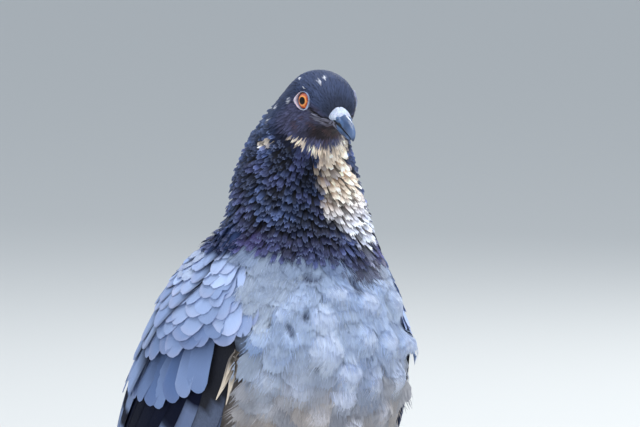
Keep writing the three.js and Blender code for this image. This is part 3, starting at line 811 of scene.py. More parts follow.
def ramp(tree, fac, stops):
    """A colour ramp; stops are (place, linear colour)."""
    made = tree.nodes.new("ShaderNodeValToRGB")
    band = made.color_ramp
    while len(band.elements) < len(stops):
        band.elements.new(.5)
    for element, (place, colour) in zip(band.elements, stops):
        element.position, element.color = place, (*colour, 1)
    tree.links.new(fac.socket, made.inputs[0])
    return Value(tree, made.outputs[0])


def new_material(name, **constants):
    """A material with its Principled shader; constants are set on the sockets."""
    made = bpy.data.materials.new(name)
    made.use_nodes = True
    shader = made.node_tree.nodes["Principled BSDF"]
    for key, value in constants.items():
        shader.inputs[key.replace("_", " ")].default_value = value
    return made, made.node_tree, shader


def link(tree, shader, **values):
    """Links values to sockets of the shader, named with _ for a space."""
    for key, value in values.items():
        tree.links.new(value.socket, shader.inputs[key.replace("_", " ")])


def attribute(tree, name, output=0):
    """A mesh attribute: its colour, or with output 1 its vector."""
    return node(tree, "ShaderNodeAttribute", dict(attribute_name=name), output=output)


def object_place(tree):
    """Object coordinates."""
    return node(tree, "ShaderNodeTexCoord", output=3)


def grain_of(tree, where, scale, detail, roughness=.5):
    """Layered noise 0..1, scale times per metre."""
    return node(tree, "ShaderNodeTexNoise", {},
                {"Vector": where, "Scale": scale, "Detail": detail, "Roughness": roughness})


def cells_of(tree, where, scale):
    """Distance to the nearest of random points, scale of them per metre."""
    return node(tree, "ShaderNodeTexVoronoi", {}, {"Vector": where, "Scale": scale})


def mottled(tree, colour, grain, contrast):
    """A colour times 1 plus a noise's distance from its middle, so many times over."""
    shade = (grain - .5) * contrast + 1.
    return node(tree, "ShaderNodeVectorMath", dict(operation="SCALE"), {0: colour, 3: shade})


def raised(tree, height, strength, distance):
    """The normal over a height of up to distance metres."""
    return node(tree, "ShaderNodeBump", {}, {"Strength": strength, "Distance": distance, "Height": height})


def feather_material(name, streak, bump, rough, gloss_rough=.38, sheen=.15, fine=2.4, soft=0., shine=.15):
    """Vane colour from the plumage attribute, with barbs along the vane coordinates.

    Barbs are noise stretched along the vane; they darken the colour and raise a bump.
    The attribute's fourth number turns gloss and a metal-like shine on.
    """
    made, tree, shader = new_material(
        name, Sheen_Weight=sheen, Sheen_Roughness=.6, Specular_IOR_Level=shine, Subsurface_Weight=soft,
        Subsurface_Radius=(.0022, .002, .002), Subsurface_Scale=1.)
    colour = attribute(tree, "plumage")
    gloss = Value(tree, colour.socket.node.outputs["Alpha"])
    stretched = node(tree, "ShaderNodeVectorMath", dict(operation="MULTIPLY"),
                     {0: attribute(tree, "vane", 1), 1: (fine, .16, 1.7)})
    lines = grain_of(tree, stretched, 1., 3., .65)
    link(tree, shader, Base_Color=mottled(tree, colour, lines, 2 * streak),
         Roughness=rough + gloss * (gloss_rough - rough) + (lines - .5) * .1,
         Metallic=gloss * .55, Normal=raised(tree, lines, bump, .0006))
    return made


# ---------------- eyes' places

def eye_spot():
    """Place and angle of the body point nearest to the left eye, from a fine grid."""
    place, angle = grid((12.5, 15), 251, (.6, 2.4), 361)
    nearest = np.linalg.norm(body(place, angle) - at(EYE_AT), axis=-1).argmin()
    return place.ravel()[nearest], angle.ravel()[nearest]


EYE_PLACE, EYE_ANGLE = eye_spot()
EYE_AXIS = {side: np.array([side * math.cos(EYE_FORWARD), -math.sin(EYE_FORWARD), 0]) for side in (1, -1)}
EYE_CENTRE = {side: at(EYE_AT) * [side, 1, 1] - EYE_AXIS[side] * EYE_RADIUS for side in (1, -1)}


def off_eye(p):
    """Distance from the nearer eye's axis, on that eye's side."""
    best = np.full(p.shape[:-1], 99.)
    for side in (1, -1):
        q = p - EYE_CENTRE[side]
        along = q @ EYE_AXIS[side]
        away = np.linalg.norm(q - along[..., None] * EYE_AXIS[side], axis=-1)
        rear = np.clip(q[..., 1] / 6, 0, 1)  # the bare corner reaches further back
        best = np.where(along > 0, np.minimum(best, away - 1.6 * rear), best)
    return best


# Samples of both wings, which keep body feathers from growing under them and raise those beside them.
SAMPLE_S, SAMPLE_T = grid((0, 1), 56, (0, 1), 30)
WING_SAMPLES = {side: frame_at(WINGS[side], SAMPLE_S, SAMPLE_T) for side in (1, -1)}
WING_TOP = 215  # no point above this z can lie over a wing


def over_wing(p):
    """Signed height over the nearest wing sample, distance to it along the face, and its s and t."""
    height = np.full(p.shape[:-1], 99.)
    aside = np.full(p.shape[:-1], 99.)
    s_near, t_near = np.zeros(p.shape[:-1]), np.zeros(p.shape[:-1])
    batch = 4000
    for side in (1, -1):
        q, _, _, n = WING_SAMPLES[side]
        q, n = q.reshape(-1, 3), n.reshape(-1, 3)
        mine = np.flatnonzero((p[..., 0] * side > -4) & (p[..., 2] < WING_TOP))
        for start in range(0, len(mine), batch):
            where = mine[start:start + batch]
            block = p.reshape(-1, 3)[where]
            nearest = ((block[:, None] - q[None]) ** 2).sum(-1).argmin(1)
            off = block - q[nearest]
            up = (off * n[nearest]).sum(-1)
            lateral = np.sqrt(np.maximum((off ** 2).sum(-1) - up ** 2, 0))
            better = np.hypot(up, lateral) < np.hypot(height.ravel()[where], aside.ravel()[where])
            where, nearest = where[better], nearest[better]
            height.ravel()[where], aside.ravel()[where] = up[better], lateral[better]
            s_near.ravel()[where] = SAMPLE_S.ravel()[nearest]
            t_near.ravel()[where] = SAMPLE_T.ravel()[nearest]
    return height, aside, s_near, t_near


def lattice(values, u_ends, v_ends):
    """Bilinear lookup in an even grid of values over two parameters."""
    def look(u, v):
        rows, cols = values.shape
        x = np.clip((u - u_ends[0]) / (u_ends[1] - u_ends[0]), 0, .99999) * (rows - 1)
        y = np.clip((v - v_ends[0]) / (v_ends[1] - v_ends[0]), 0, .99999) * (cols - 1)
        i, j = x.astype(int), y.astype(int)
        f, g = x - i, y - j
        return ((values[i, j] * (1 - f) + values[i + 1, j] * f) * (1 - g)
                + (values[i, j + 1] * (1 - f) + values[i + 1, j + 1] * f) * g)
    return look


def wing_fields():
    """Two lattices over half the body: what a wing or its gap covers, and how far a wing stands out."""
    ends = (-.6, 8.4), (0, np.pi)
    u, v = grid(ends[0], 240, ends[1], 130)
    height, aside, s, t = over_wing(body(u, v))
    inside = (aside < 3.) & (height < 3.) & (t > .02) & (s > .012) & (s < .97)
    low_gap = (aside < 5.) & (t > .93) & (s > .07) & (s < .6)
    rise = np.where((aside < 3.) & (height > -4.), np.maximum(-height + 1., 0), 0)
    for _ in range(3):  # smoothed three times over the four cells beside each one
        wide = np.pad(rise, 1, mode="edge")
        rise = (wide[:-2, 1:-1] + wide[2:, 1:-1] + wide[1:-1, :-2] + wide[1:-1, 2:] + 2 * rise) / 6
    return lattice((inside | low_gap).astype(float), *ends), lattice(rise, *ends)


WING_COVER, WING_RISE = wing_fields()


def clear_of_wings(u, v, slack=.04):
    """True where body feathers may root: not under a wing, its coverts or the gap beside it."""
    side = around(v)
    left = np.mod(v, TURN) < np.pi
    edge = np.interp(u, *FLAP_EDGE) - slack + .2 * left * (1 - ease(u, 5.2, 5.8))
    flap = (u > 4.6) & (u < 7.6) & (side > np.interp(u, [6.5, 6.9], [1.85, 1.1])) & (side < edge)
    return (WING_COVER(u, side) < .5) & ~flap


def local_at(rows, p):
    """Offsets of points from each row's spot on the body, along it towards the tail and across."""
    centre, pu, _, n = frame_at(body, rows[:, 0], rows[:, 1])
    down = -unit(pu)
    across = np.cross(n, down)
    off = p[..., None, :] - centre
    return (off * down).sum(-1), (off * across).sum(-1)


def pillow_fields():
    """Three lattices over the body: how far pillows rise, the painted light and shade on them, and the
    slits' painted shade.

    A pillow is a dome over an oval, steeper towards the tail, and the highest one counts. A
    slit is a leaning oval that fades outwards, and it takes the pillows away.
    """
    ends = (3., 8.2), (0, TURN)
    u, v = grid(ends[0], 240, ends[1], 320)
    p = body(u, v)
    down, across = local_at(PILLOWS, p)
    down, across = down / PILLOWS[:, 3], across / PILLOWS[:, 2]
    inside = np.clip(1 - down ** 2 - across ** 2, 0, 1)
    domes = 1.35 * PILLOWS[:, 4] * inside ** np.where(down > 0, .55, 1.1)
    pillow_light = 1 + (PILLOWS[:, 5] - 1) * ease(inside, 0, .5)
    down, across = local_at(SLITS, p)
    lean = np.radians(SLITS[:, 4])
    along = across * np.cos(lean) + down * np.sin(lean)
    over = down * np.cos(lean) - across * np.sin(lean)
    cracks = (1 - ease(np.hypot(along / SLITS[:, 2], over / SLITS[:, 3]), .6, 1.3)).max(-1)
    highest = domes.max(-1)
    pillow_light = np.take_along_axis(pillow_light, domes.argmax(-1)[..., None], -1)[..., 0]
    # painted light: brighter on high domes, painted shade lower down between them
    pillow_light = pillow_light ** 1.5 * (.76 + .42 * ease(highest, .2, 2.4))
    rise = highest * (1 - cracks) - 1.6 * cracks
    return [lattice(values, *ends) for values in (rise, pillow_light, cracks)]


PILLOW_RISE, PILLOW_PAINTED_LIGHT, SLIT_SHADE = pillow_fields()


def over_ground(u, v):
    """How far the coat stands over the body: over the wings and on the pillows."""
    return WING_RISE(u, around(v)) + PILLOW_RISE(u, np.mod(v, TURN))


def over_shoulders(u, v):
    """How far the neck's feathers stand over the body where they meet the wings."""
    return 1.25 * WING_RISE(u, around(v))


# ---------------- materials

SOFT = feather_material("soft_feathers", streak=.2, bump=.35, rough=.8, sheen=.3, fine=2.6, soft=.35)
VELVET = feather_material("head_feathers", streak=.2, bump=.25, rough=.7, sheen=.05, fine=3.2, shine=.2)
HACKLE = feather_material("neck_feathers", streak=.45, bump=.6, rough=.55, gloss_rough=.33, sheen=.03,
                         fine=3., shine=.3)
COVERTS = feather_material("covert_feathers", streak=.12, bump=.25, rough=.75, sheen=0., fine=3.4,
                          shine=.06)
FLIGHT = feather_material("flight_feathers", streak=.13, bump=.2, rough=.5, sheen=.08, fine=3.)


def unwrap_body(first, last):
    """Unwraps the places first to last of the body: place along and angle round fill the square."""
    def unwrap(place, angle, batch):
        return np.stack([np.mod(angle, TURN) / TURN, (place - first) / (last - first)], -1) * .96 + .02
    return unwrap


def back_heading(place, angle, sweep):
    """Direction towards the tail, turned by sweep radians towards the back at the sides."""
    _, pu, pv, _ = frame_at(body, place, angle)
    return unit(-unit(pu) - np.tan(sweep)[:, None] * np.sin(angle)[:, None] * unit(pv))


def near_tip(b):
    """Point and both parameters of each feather at the part that shows."""
    return b["p"][:, -2:-1], b["u"][:, -2:-1], b["v"][:, -2:-1]


def uneven(rgb, spread, rng):
    """Makes whole feathers brighter or darker at random, by a bell curve of the given spread."""
    return rgb * np.exp(rng.normal(0, spread, len(rgb)))[:, None, None, None]


# ---------------- head, neck and body coats

def head_coat():
    """Short scale-like feathers, smallest at the face, none on lids, cere or bill."""
    rng = np.random.default_rng(3)
    keep = lambda p, u, v: off_eye(p) > 4.0
    spacing = lambda p, u, v: .72 + .2 * (1 - ease(u, 11, 12.4)) - .14 * ease(u, 14.6, 15.6)
    u, v, p = scatter(body, (10.9, 16), (0, TURN), spacing, 30000, rng, keep)
    n = len(u)
    heading = back_heading(u, v, .15 * rng.standard_normal(n) + .25 * ease(u, 14, 11.4))
    size = spacing(p, u, v)
    length = 4.6 * size * rng.uniform(.85, 1.15, n) * (.55 + .45 * ease(off_eye(p), 4.4, 7.5))
    track = walk(body, u, v, heading, length, 4)
    front = ease(u, 15.4, 15.9)
    b = feather(body, track, 1.25 * size * rng.uniform(.7, 1.2, n), cols=3, lift=(-.9 + .25 * front, -.4),
                cup=.12, tip=1.1, base=.6, narrow=.5, thick=.06, rng=rng, jitter=rng.normal(0, .035, n))
    spread = .08 + .16 * ease(around(v), 1.35, 1.8)
    bright = np.exp(spread * rng.standard_normal(n))
    rgb = body_colour(*near_tip(b))[:, :, None] * bright[:, None, None, None]
    # darker towards each feather's root: partly the dark down, partly painted shade under the feathers above
    rgb = rgb * (.66 + .42 * b["a"])[..., None]
    with_colour(b, rgb, .12)
    return coat("feathers_head", [b], VELVET, unwrap_body(10.8, 16.1))


def neck_coat():
    """Narrow ragged hackles in layers, swept back at the sides, with a shine on them."""
    rng = np.random.default_rng(5)
    spacing = lambda p, u, v: 1.4 + .45 * (1 - ease(u, 7.9, 11))
    u, v, p = scatter(body, (7.3, 11.6), (0, TURN), spacing, 26000, rng,
                      lambda p, u, v: u > neck_edge(v) + .55)
    n = len(u)
    heading = back_heading(u, v, np.full(n, .5) + .1 * rng.standard_normal(n))
    size = spacing(p, u, v)
    near_end = 1 - ease(u - neck_edge(v), .6, 1.2)
    length = (4.7 * size + 1.5 * near_end) * rng.uniform(.85, 1.2, n)
    track = walk(body, u, v, heading, length, 6)
    lifted = -.3 + rng.random(n) ** 1.5 - .5 * near_end
    b = feather(body, track, 1.45 * size * rng.uniform(.8, 1.25, n), cols=5, lift=(-2.4, lifted), rise=1.2,
                cup=.1, tip=.3, base=.5, narrow=.25, fringe=.2, thick=.14, rng=rng,
                twist=.13 * rng.standard_normal(n), ground=over_shoulders)
    p, u, v = near_tip(b)
    rgb = body_colour(p, np.maximum(u, neck_edge(v) + .42), v)[:, :, None]
    # dark feathers are near black at the base and pale at the end: partly their own colour, partly painted
    # shade under the feathers above, with a painted highlight of their sheen at the tips; pale ones get
    # brown bases, partly painted shade between them, and some pale ones lie in painted shade
    pale = ease(rgb.mean(-1), .12, .3)
    tipward = ease(b["a"], .35, 1)
    dark = rgb * (.05 + 1.18 * tipward)[..., None]
    dark = mix(dark, HACKLE_TIP_HIGHLIGHT, .5 * ease(b["a"], .8, 1))
    streaked = mix(rgb * [.52, .42, .36], rgb * 1.18, tipward)
    shaded = np.where(rng.random(n) < .15, .22, 1.)[:, None, None, None]
    rgb = uneven(mix(dark, streaked * shaded, pale), .3, rng)
    with_colour(b, rgb, .35 * (1 - pale) * ease(b["a"], .2, .8))
    last = b["u"][:, 0] - neck_edge(b["v"][:, 0]) < 1.
    fringed = {key: part[last] for key, part in b.items()}
    hair = barbs(body, fringed, 4, .3, 2., rng, over_shoulders, .15)
    coat("feathers_neck_base", [hair], HACKLE, unwrap_body(7.2, 11.7))
    return coat("feathers_neck", [b], HACKLE, unwrap_body(7.7, 11.6))


class Locks:
    """Loose breast feathers part in rounded locks: centres at random, each with its own bulge."""

    def __init__(self, rng):
        """Centres about 13 to 18 mm apart, each with a lift and a warm or cool tone."""
        apart = lambda p, u, v: 13. + 5 * noise(p, 30, 4)
        _, _, self.centres = scatter(body, (1.2, 7.6), (0, TURN), apart, 3000, rng)
        self.lift = rng.uniform(.1, 1, len(self.centres)) ** .7
        self.tone = rng.normal(0, .05, len(self.centres))

    def at(self, p, u, v, heading):
        """Lock number, sideways offset, and how far the lock stands out, most at its lower end."""
        near = ((p[:, None] - self.centres[None]) ** 2).sum(-1).argmin(1)
        off = p - self.centres[near]
        down = (off * heading).sum(-1)
        aside = off - down[:, None] * heading
        front = ease(around(v), 1.25, 1.9) * ease(u, 2.5, 4) * (1 - ease(u, 7.2, 7.7))
        middle = 1 - .5 * ease(np.linalg.norm(aside, axis=-1), 3, 9)
        bulge = front * self.lift[near] * (2.1 * ease(down, -7, 7) - .5) * middle
        return near, aside, bulge


def breast_tint(b, rng, locks, near, spread):
    """Body markings near each tip, darker at the base (partly grey down, partly painted shade), with painted
    light that makes the pillows brighter and whiter.
    """
    n = len(near)
    rgb = body_colour(*near_tip(b))[:, :, None]
    u, v = b["place"], np.mod(b["angle"], TURN)
    warm = (rng.normal(0, spread * .6, n) + locks.tone[near])[:, None, None]
    rgb = rgb * np.stack([1 + warm, 1 + .2 * warm, 1 - warm], -1)
    # painted shade towards each feather's base, times the pillows' painted light and shade
    shade = (.8 + .22 * ease(b["a"], .05, .9)) * np.maximum(PILLOW_PAINTED_LIGHT(u, v), .5)
    # painted highlight: the brightest pillows are mixed towards white
    rgb = mix(rgb, COOL_WHITE, .45 * ease(PILLOW_PAINTED_LIGHT(u, v), 1., 1.25))
    rgb = rgb * (shade * np.exp(rng.normal(0, spread, n))[:, None, None])[..., None]
    return rgb * np.minimum(1, .93 / rgb.max(-1, keepdims=True))


def in_slits(b, rgb, share):
    """Darkens what lies in the slits between the pillows: painted shade over the slate feather bases."""
    return mix(rgb, SLIT_DARK, share * SLIT_SHADE(b["place"], np.mod(b["angle"], TURN)))


def breast_coat():
    """Breast, belly and flanks: comb-ended vanes in pillows, with fine barbs past their tips."""
    for name, places, gap, seed in (("upper", (6.7, 8.4), 3.2, 11), ("mid", (5.2, 6.75), 3.5, 12),
                                    ("low", (.2, 5.25), 4.7, 13)):
        rng = np.random.default_rng(seed)
        locks = Locks(np.random.default_rng(7))
        open_skin = lambda p, u, v: (around(v) > .95) & (u < neck_edge(v) + .45) & clear_of_wings(u, v)
        spacing = lambda p, u, v: gap - .5 * ease(u, 7.2, 8) + .6 * (around(v) < 1.9)
        u, v, p = scatter(body, places, (0, TURN), spacing, 9000, rng, open_skin)
        n = len(u)
        swirl = .9 * (noise(p, 16, 33) - .5) + .12 * rng.standard_normal(n)
        heading = back_heading(u, v, swirl + .1)
        near, aside, bulge = locks.at(p, u, v, heading)
        heading = unit(heading - .03 * aside)
        size = spacing(p, u, v)
        track = walk(body, u, v, heading, 4.1 * size * rng.uniform(.85, 1.2, n), 5)
        clear = clear_of_wings(track[0][:, -2], track[1][:, -2], .1) | (u < 4.7)
        track, near, bulge, size = [part[clear] for part in track], near[clear], bulge[clear], size[clear]
        u, n = u[clear], int(clear.sum())
        top = (-.5 + .3 * rng.random(n) + .45 * bulge) * (.4 + .6 * ease(u, .6, 2))
        b = feather(body, track, 2.5 * size * rng.uniform(.85, 1.15, n), cols=17,
                    lift=(-1.9 + .3 * bulge, top), rise=.9, cup=.02, tip=.5, base=.55, fringe=.17,
                    thick=.08, rng=rng, twist=.03 * rng.standard_normal(n), curl=-.03, ground=over_ground)
        with_colour(b, breast_tint(b, rng, locks, near, .02))
        hair = barbs(body, b, 20 if name != "low" else 14, .38, 3.4, rng, over_ground)
        for part, share in ((b, .95), (hair, .6)):
            with_colour(part, in_slits(part, part["colour"][..., :3], share))
        coat("feathers_breast_" + name, [b, hair], SOFT, unwrap_body(0, 8.5))


def back_coat():
    """Smooth rounded feathers of mantle, back and rump."""
    rng = np.random.default_rng(13)
    keep = lambda p, u, v: (around(v) < 1.05) & (u < neck_edge(v) + .45) & clear_of_wings(u, v)
    spacing = lambda p, u, v: np.full(len(u), 3.9) - .8 * ease(u, 6.5, 7.8)
    u, v, p = scatter(body, (-.4, 7.95), (-1.05, 1.05), spacing, 8000, rng, keep)
    n = len(u)
    heading = back_heading(u, v, .05 * rng.standard_normal(n))
    size = spacing(p, u, v)
    track = walk(body, u, v, heading, 4. * size * rng.uniform(.9, 1.1, n), 6)
    b = feather(body, track, 2.35 * size, cols=7, lift=(-3.2, -.1 + .25 * rng.random(n)), rise=1.1, cup=.07,
                tip=.5, base=.45, fringe=.05, thick=.2, rng=rng, twist=.05 * rng.standard_normal(n),
                ground=over_ground)
    rgb = body_colour(*near_tip(b))[:, :, None]
    # darker towards each feather's root: partly the grey down, partly painted shade under the feathers above
    rgb = rgb * (.72 + .32 * ease(b["a"], .1, .8))[..., None]
    with_colour(b, uneven(rgb, .06, rng))
    return coat("feathers_back", [b], SOFT, unwrap_body(-.5, 8.1))


# ---------------- wing coat

def from_tips(surface, s, t, turn, length, rows):
    """Feather lines that end at given tips: walked backwards and turned round.

    They run along the wing towards its tip, turned by radians towards the low edge.
    """
    _, pu, pv, _ = frame_at(surface, s, t)
    along = unit(pu)
    down = unit(pv - dot(pv, along) * along)
    heading = unit(np.cos(turn)[:, None] * along + np.sin(turn)[:, None] * down)
    u, v, d = walk(surface, s, t, -heading, length, rows)
    return u[:, ::-1], v[:, ::-1], -d[:, ::-1]


def along_row(ts, ss, step, surface, rng, shift=0.):
    """Tips spread evenly, step mm apart, along a row curve t -> s."""
    t = np.linspace(ts[0], ts[-1], 400)
    s = np.interp(t, ts, ss) + shift
    p = surface(s, t)
    run = np.concatenate([[0], np.cumsum(np.linalg.norm(np.diff(p, axis=0), axis=-1))])
    places = np.arange(step * .5, run[-1], step)
    places = places + rng.uniform(-.08, .08, len(places)) * step
    return np.interp(places, run, s), np.interp(places, run, t)


FLIGHT_ROWS = 40  # mesh rows along a flight feather


def covert_turn(s, t):
    """How far coverts are turned towards the low edge, in radians: most at the front of that edge."""
    return .5 * ease(t, .6, .9) * (1 - ease(s, .25, .5)) + .04


def in_cells(b, first, step, row, size):
    """Gives every vane its own spot and size in the bake square: a row, step apart."""
    n = len(b["u"])
    b["cell"] = np.stack([first + step * np.arange(n), np.full(n, row)], -1)
    b["patch"] = size
    return b


def whole_vane(b, values):
    """Values along each feather's line, the same across its vane."""
    return np.broadcast_to(values[:, :, None], b["a"].shape)


def with_shaft(b, rgb, dark=.5):
    """Darkens a fine line along the middle of each vane."""
    return mix(rgb, rgb * dark, np.exp(-(b["side"] / .35) ** 2) * .5)


def covert_colours(b, rng, deep, edge):
    """Pale coverts, deeper, and darker at the base with painted shade under the row above, with a pinkish
    rim; the topmost are neck-blue.
    """
    n = len(b["u"])
    depth = np.clip(deep + rng.normal(0, .14, n), -.3, 1)[:, None, None]
    ground = mix(COVERT, COVERT_DEEP, depth * np.ones_like(b["a"]))
    rim = np.maximum(ease(b["a"], .8, 1), ease(np.abs(b["c"]), .75, 1) * .7)
    pink = rng.random(n)[:, None, None] * edge
    rgb = mix(ground, PINKISH, rim * pink)
    # painted shade towards the base, where the row above lies over it
    rgb = mix(rgb, COVERT_DEEP * .45, (1 - ease(b["a"], .25, .82)) * .75)
    rgb = uneven(rgb, .05, rng)
    under_neck = ease(b["top"][..., 2] + 3 * (noise(b["top"], 5, 44) - .5), 194.5, 197.5)
    return mix(rgb, mix(NAVY, NECK_BLUE, noise(b["top"], 3, 45)), under_neck)


def primaries(surface, side):
    """Ten long dark feathers: the innermost lies on top, the outer ones reach to the tip."""
    k = np.arange(10)
    a = np.linspace(0, 1, FLIGHT_ROWS)[None]
    tip_s, tip_t = .70 + .032 * k, .80 - .028 * k
    root_s = (.22 + .008 * k)[:, None]
    s = root_s + (tip_s[:, None] - root_s) * a
    t = tip_t[:, None] + (.99 - .008 * k - tip_t)[:, None] * (1 - a) ** .8 * .8
    b = feather(surface, track_of(surface, s, t), 13. - .35 * k, cols=7,
                lift=(-5.4 - .08 * k, -2.6 - .1 * k), cup=.02, tip=.9, base=.8, narrow=.25, thick=.2,
                twist=-.05 * side, slant=.8)
    rgb = mix(PRIMARY, PRIMARY_TIP, ease(b["a"], .45, .95))
    rgb = mix(rgb, SECONDARY, ease(np.abs(b["c"]), .74, .97) * .5)
    rgb = mix(rgb, PRIMARY_TIP * .5, np.exp(-(b["side"] / .4) ** 2) * .6)
    return in_cells(with_colour(b, rgb, .1), .04, .025, .06, (.02, .09))


def secondaries(surface, side, rng):
    """Twelve strips that lean down at the front, upper ones over lower ones, with both dark bars."""
    k = np.arange(12)
    a = np.linspace(0, 1, FLIGHT_ROWS)[None]
    tip_t = .96 - .058 * k
    tip_s = np.interp(tip_t, *SECONDARY_TIPS) + rng.uniform(-.004, .004, 12)
    lean = .26 * (1 - ease(k, 0, 7))
    root_s = .12 * ease(k, 2, 9)[:, None]
    s = root_s + (tip_s[:, None] - root_s) * a
    t = tip_t[:, None] - lean[:, None] * np.exp(-s / .13)
    b = feather(surface, track_of(surface, s, t), 15., cols=7, lift=(-4.6 + .06 * k, -1.9 + .1 * k),
                cup=.02, tip=.45, base=.8, thick=.22, twist=-.06 * side, slant=.8)
    below = .05  # the part of a strip that shows lies this much below its line
    rgb = uneven(wing_colour(b["top"], whole_vane(b, s), whole_vane(b, t + below)), .09, rng)
    rgb = mix(rgb, rgb * 1.6, ease(side * b["c"], .72, .98) * .6)
    return in_cells(with_colour(b, with_shaft(b, rgb, .45), .08), .04, .027, .17, (.022, .09))


def tertials(surface, side):
    """Five long broad feathers at the upper edge, with two dark bars each."""
    k = np.arange(5)
    a = np.linspace(0, 1, FLIGHT_ROWS)[None]
    tip_t = .5 - .1 * k
    tip_s = np.array([.72, .76, .76, .71, .62])
    root_s = .18
    s = root_s + (tip_s - root_s)[:, None] * a
    t = tip_t[:, None] + .02 * (1 - a)
    b = feather(surface, track_of(surface, s, t), 19., cols=9, lift=(-2.2, -.9 + .2 * k), cup=.03, tip=.5,
                base=.8, thick=.25, twist=-.07 * side, slant=.8)
    grey = np.broadcast_to(mix(SCAPULAR, SECONDARY, .45), (*b["a"].shape, 3))
    first = whole_vane(b, s) - .52 + .03 * np.abs(b["c"])
    second = whole_vane(b, s) - tip_s[:, None, None]
    rgb = mix(grey, BAR, ease(second, -.1, -.085) * (1 - ease(second, -.035, -.025)))
    rgb = mix(rgb, BAR, ease(first, -.035, -.02) * (1 - ease(first, .02, .035)))
    rgb = mix(rgb, PALE_BLUE, ease(side * b["c"], .75, 1) * .35)
    return in_cells(with_colour(b, with_shaft(b, rgb), .05), .04, .035, .28, (.03, .09))


def large_coverts(surface, side, rng):
    """A row of greater coverts and one of median coverts over it."""
    batches = []
    plans = [dict(name="greater", step=9.4, width=11.8, length=34, root=-3.6, tip=-1., ragged=.007, deep=.8),
             dict(name="median", step=8.4, width=12.6, length=25, root=-3.2, tip=-.55, ragged=.02, deep=.58)]
    for row, plan in enumerate(plans):
        s, t = along_row(*TIPS[plan["name"]], plan["step"], surface, rng)
        n = len(s)
        s = s + rng.uniform(-1, 1, n) * plan["ragged"] - .008
        wide = plan["width"] * rng.uniform(.84, 1.16, n)
        if plan["name"] == "median":
            wide[np.argmin(np.abs(t - .71))] = 15.  # one covert is broader than those beside it
        track = from_tips(surface, s, t, covert_turn(s, t), plan["length"] * rng.uniform(.94, 1.06, n), 9)
        b = feather(surface, track, wide, cols=9, lift=(plan["root"], plan["tip"] + rng.uniform(0, .4, n)),
                    cup=.014, tip=.5, base=.6, thick=.2, rng=rng, twist=-.055 * side, slant=.7, rise=.8)
        with_colour(b, covert_colours(b, rng, plan["deep"], .3), .02)
        batches.append(in_cells(b, .03, .028, .38 + .06 * row, (.022, .05)))
    return batches


def lesser_coverts(surface, side, rng):
    """Eight rows up to the shoulder, each ahead of and over the last, and a little smaller."""
    batches = []
    shift, step, width, length, top = -.062, 8.6, 13.2, 23, -.3
    for row in range(8):
        s, t = along_row(*TIPS["median"], step, surface, rng, shift)
        s = s + rng.uniform(-.02, .02, len(s))
        kept = (s > -.05 - .12 * ease(t, .3, .5) - .03 * ease(t, .75, .92)) & (t > .2)
        s, t, n = s[kept], t[kept], int(kept.sum())
        if n:
            turn = covert_turn(s, t) * 1.1 + .09 * rng.standard_normal(n)
            track = from_tips(surface, s, t, turn, length * rng.uniform(.85, 1.1, n), 8)
            sunk = .9 * (1 - ease(s, -.07, .01)) * ease(t, .6, .8)
            wide = width * rng.uniform(.82, 1.15, n)
            loose = rng.uniform(0, .3 / (1 + .5 * row), n)
            b = feather(surface, track, wide, cols=9, rise=.9, lift=(-2.2 - sunk, top - sunk + loose),
                        cup=.014, tip=.5, base=.55, thick=.14, rng=rng,
                        twist=-.05 * side + .03 * rng.standard_normal(n), slant=.6,
                        fringe=.01 + .008 * row)
            with_colour(b, covert_colours(b, rng, max(.35 - .12 * row, -.1), .3))
            batches.append(in_cells(b, .03, .018, .5 + .02 * row, .012))
        shift, top = shift - .056, top + .03
        step, width, length = step * .96, width * .95, length * .96
    return batches


def cream_feathers(surface, side):
    """Three cream feathers that hang past the low edge, beside the breast; short and blue on the left."""
    a = np.linspace(0, 1, 8)[None]
    start_s, start_t = np.array([[-.03], [-.02], [-.01]]), np.array([[.99], [1.02], [.97]])
    end_s, end_t = np.array([[.15], [.13], [.1]]), np.array([[.925], [1.0], [.95]])
    reach = 1. if side < 0 else .5
    s, t = start_s + (end_s - start_s) * a * reach, start_t + (end_t - start_t) * a
    b = feather(surface, track_of(surface, s, t), [5.4, 4.8, 3.2], cols=13, lift=(-2.2, [-.5, -.6, -.3]),
                cup=.06, tip=1.5, base=.4, narrow=.75, thick=.12, slant=.8)
    # nearly black at the root, painted shade under the wing's edge; darker at the sides, painted shade
    # between them
    rgb = mix(CREAM, APRICOT, noise(b["top"], 3, 41) * .2) * (.06 + .86 * ease(b["a"], .4, .8))[..., None]
    rgb = mix(rgb, BEIGE * .5, ease(np.abs(b["c"]), .5, .95) * .7)
    rgb = rgb if side < 0 else mix(rgb, SOFT_BLUE, .85)
    return in_cells(with_colour(b, rgb), .6, .03, .6, (.012, .04))


# Rows of scapulars from the lowest to the highest: tip s, width and length in mm.
SCAPULAR_ROWS = [(.5, 15, 40), (.42, 14, 36), (.345, 13, 32), (.275, 12, 28), (.21, 11, 24), (.15, 10, 21),
                 (.095, 9.5, 19)]


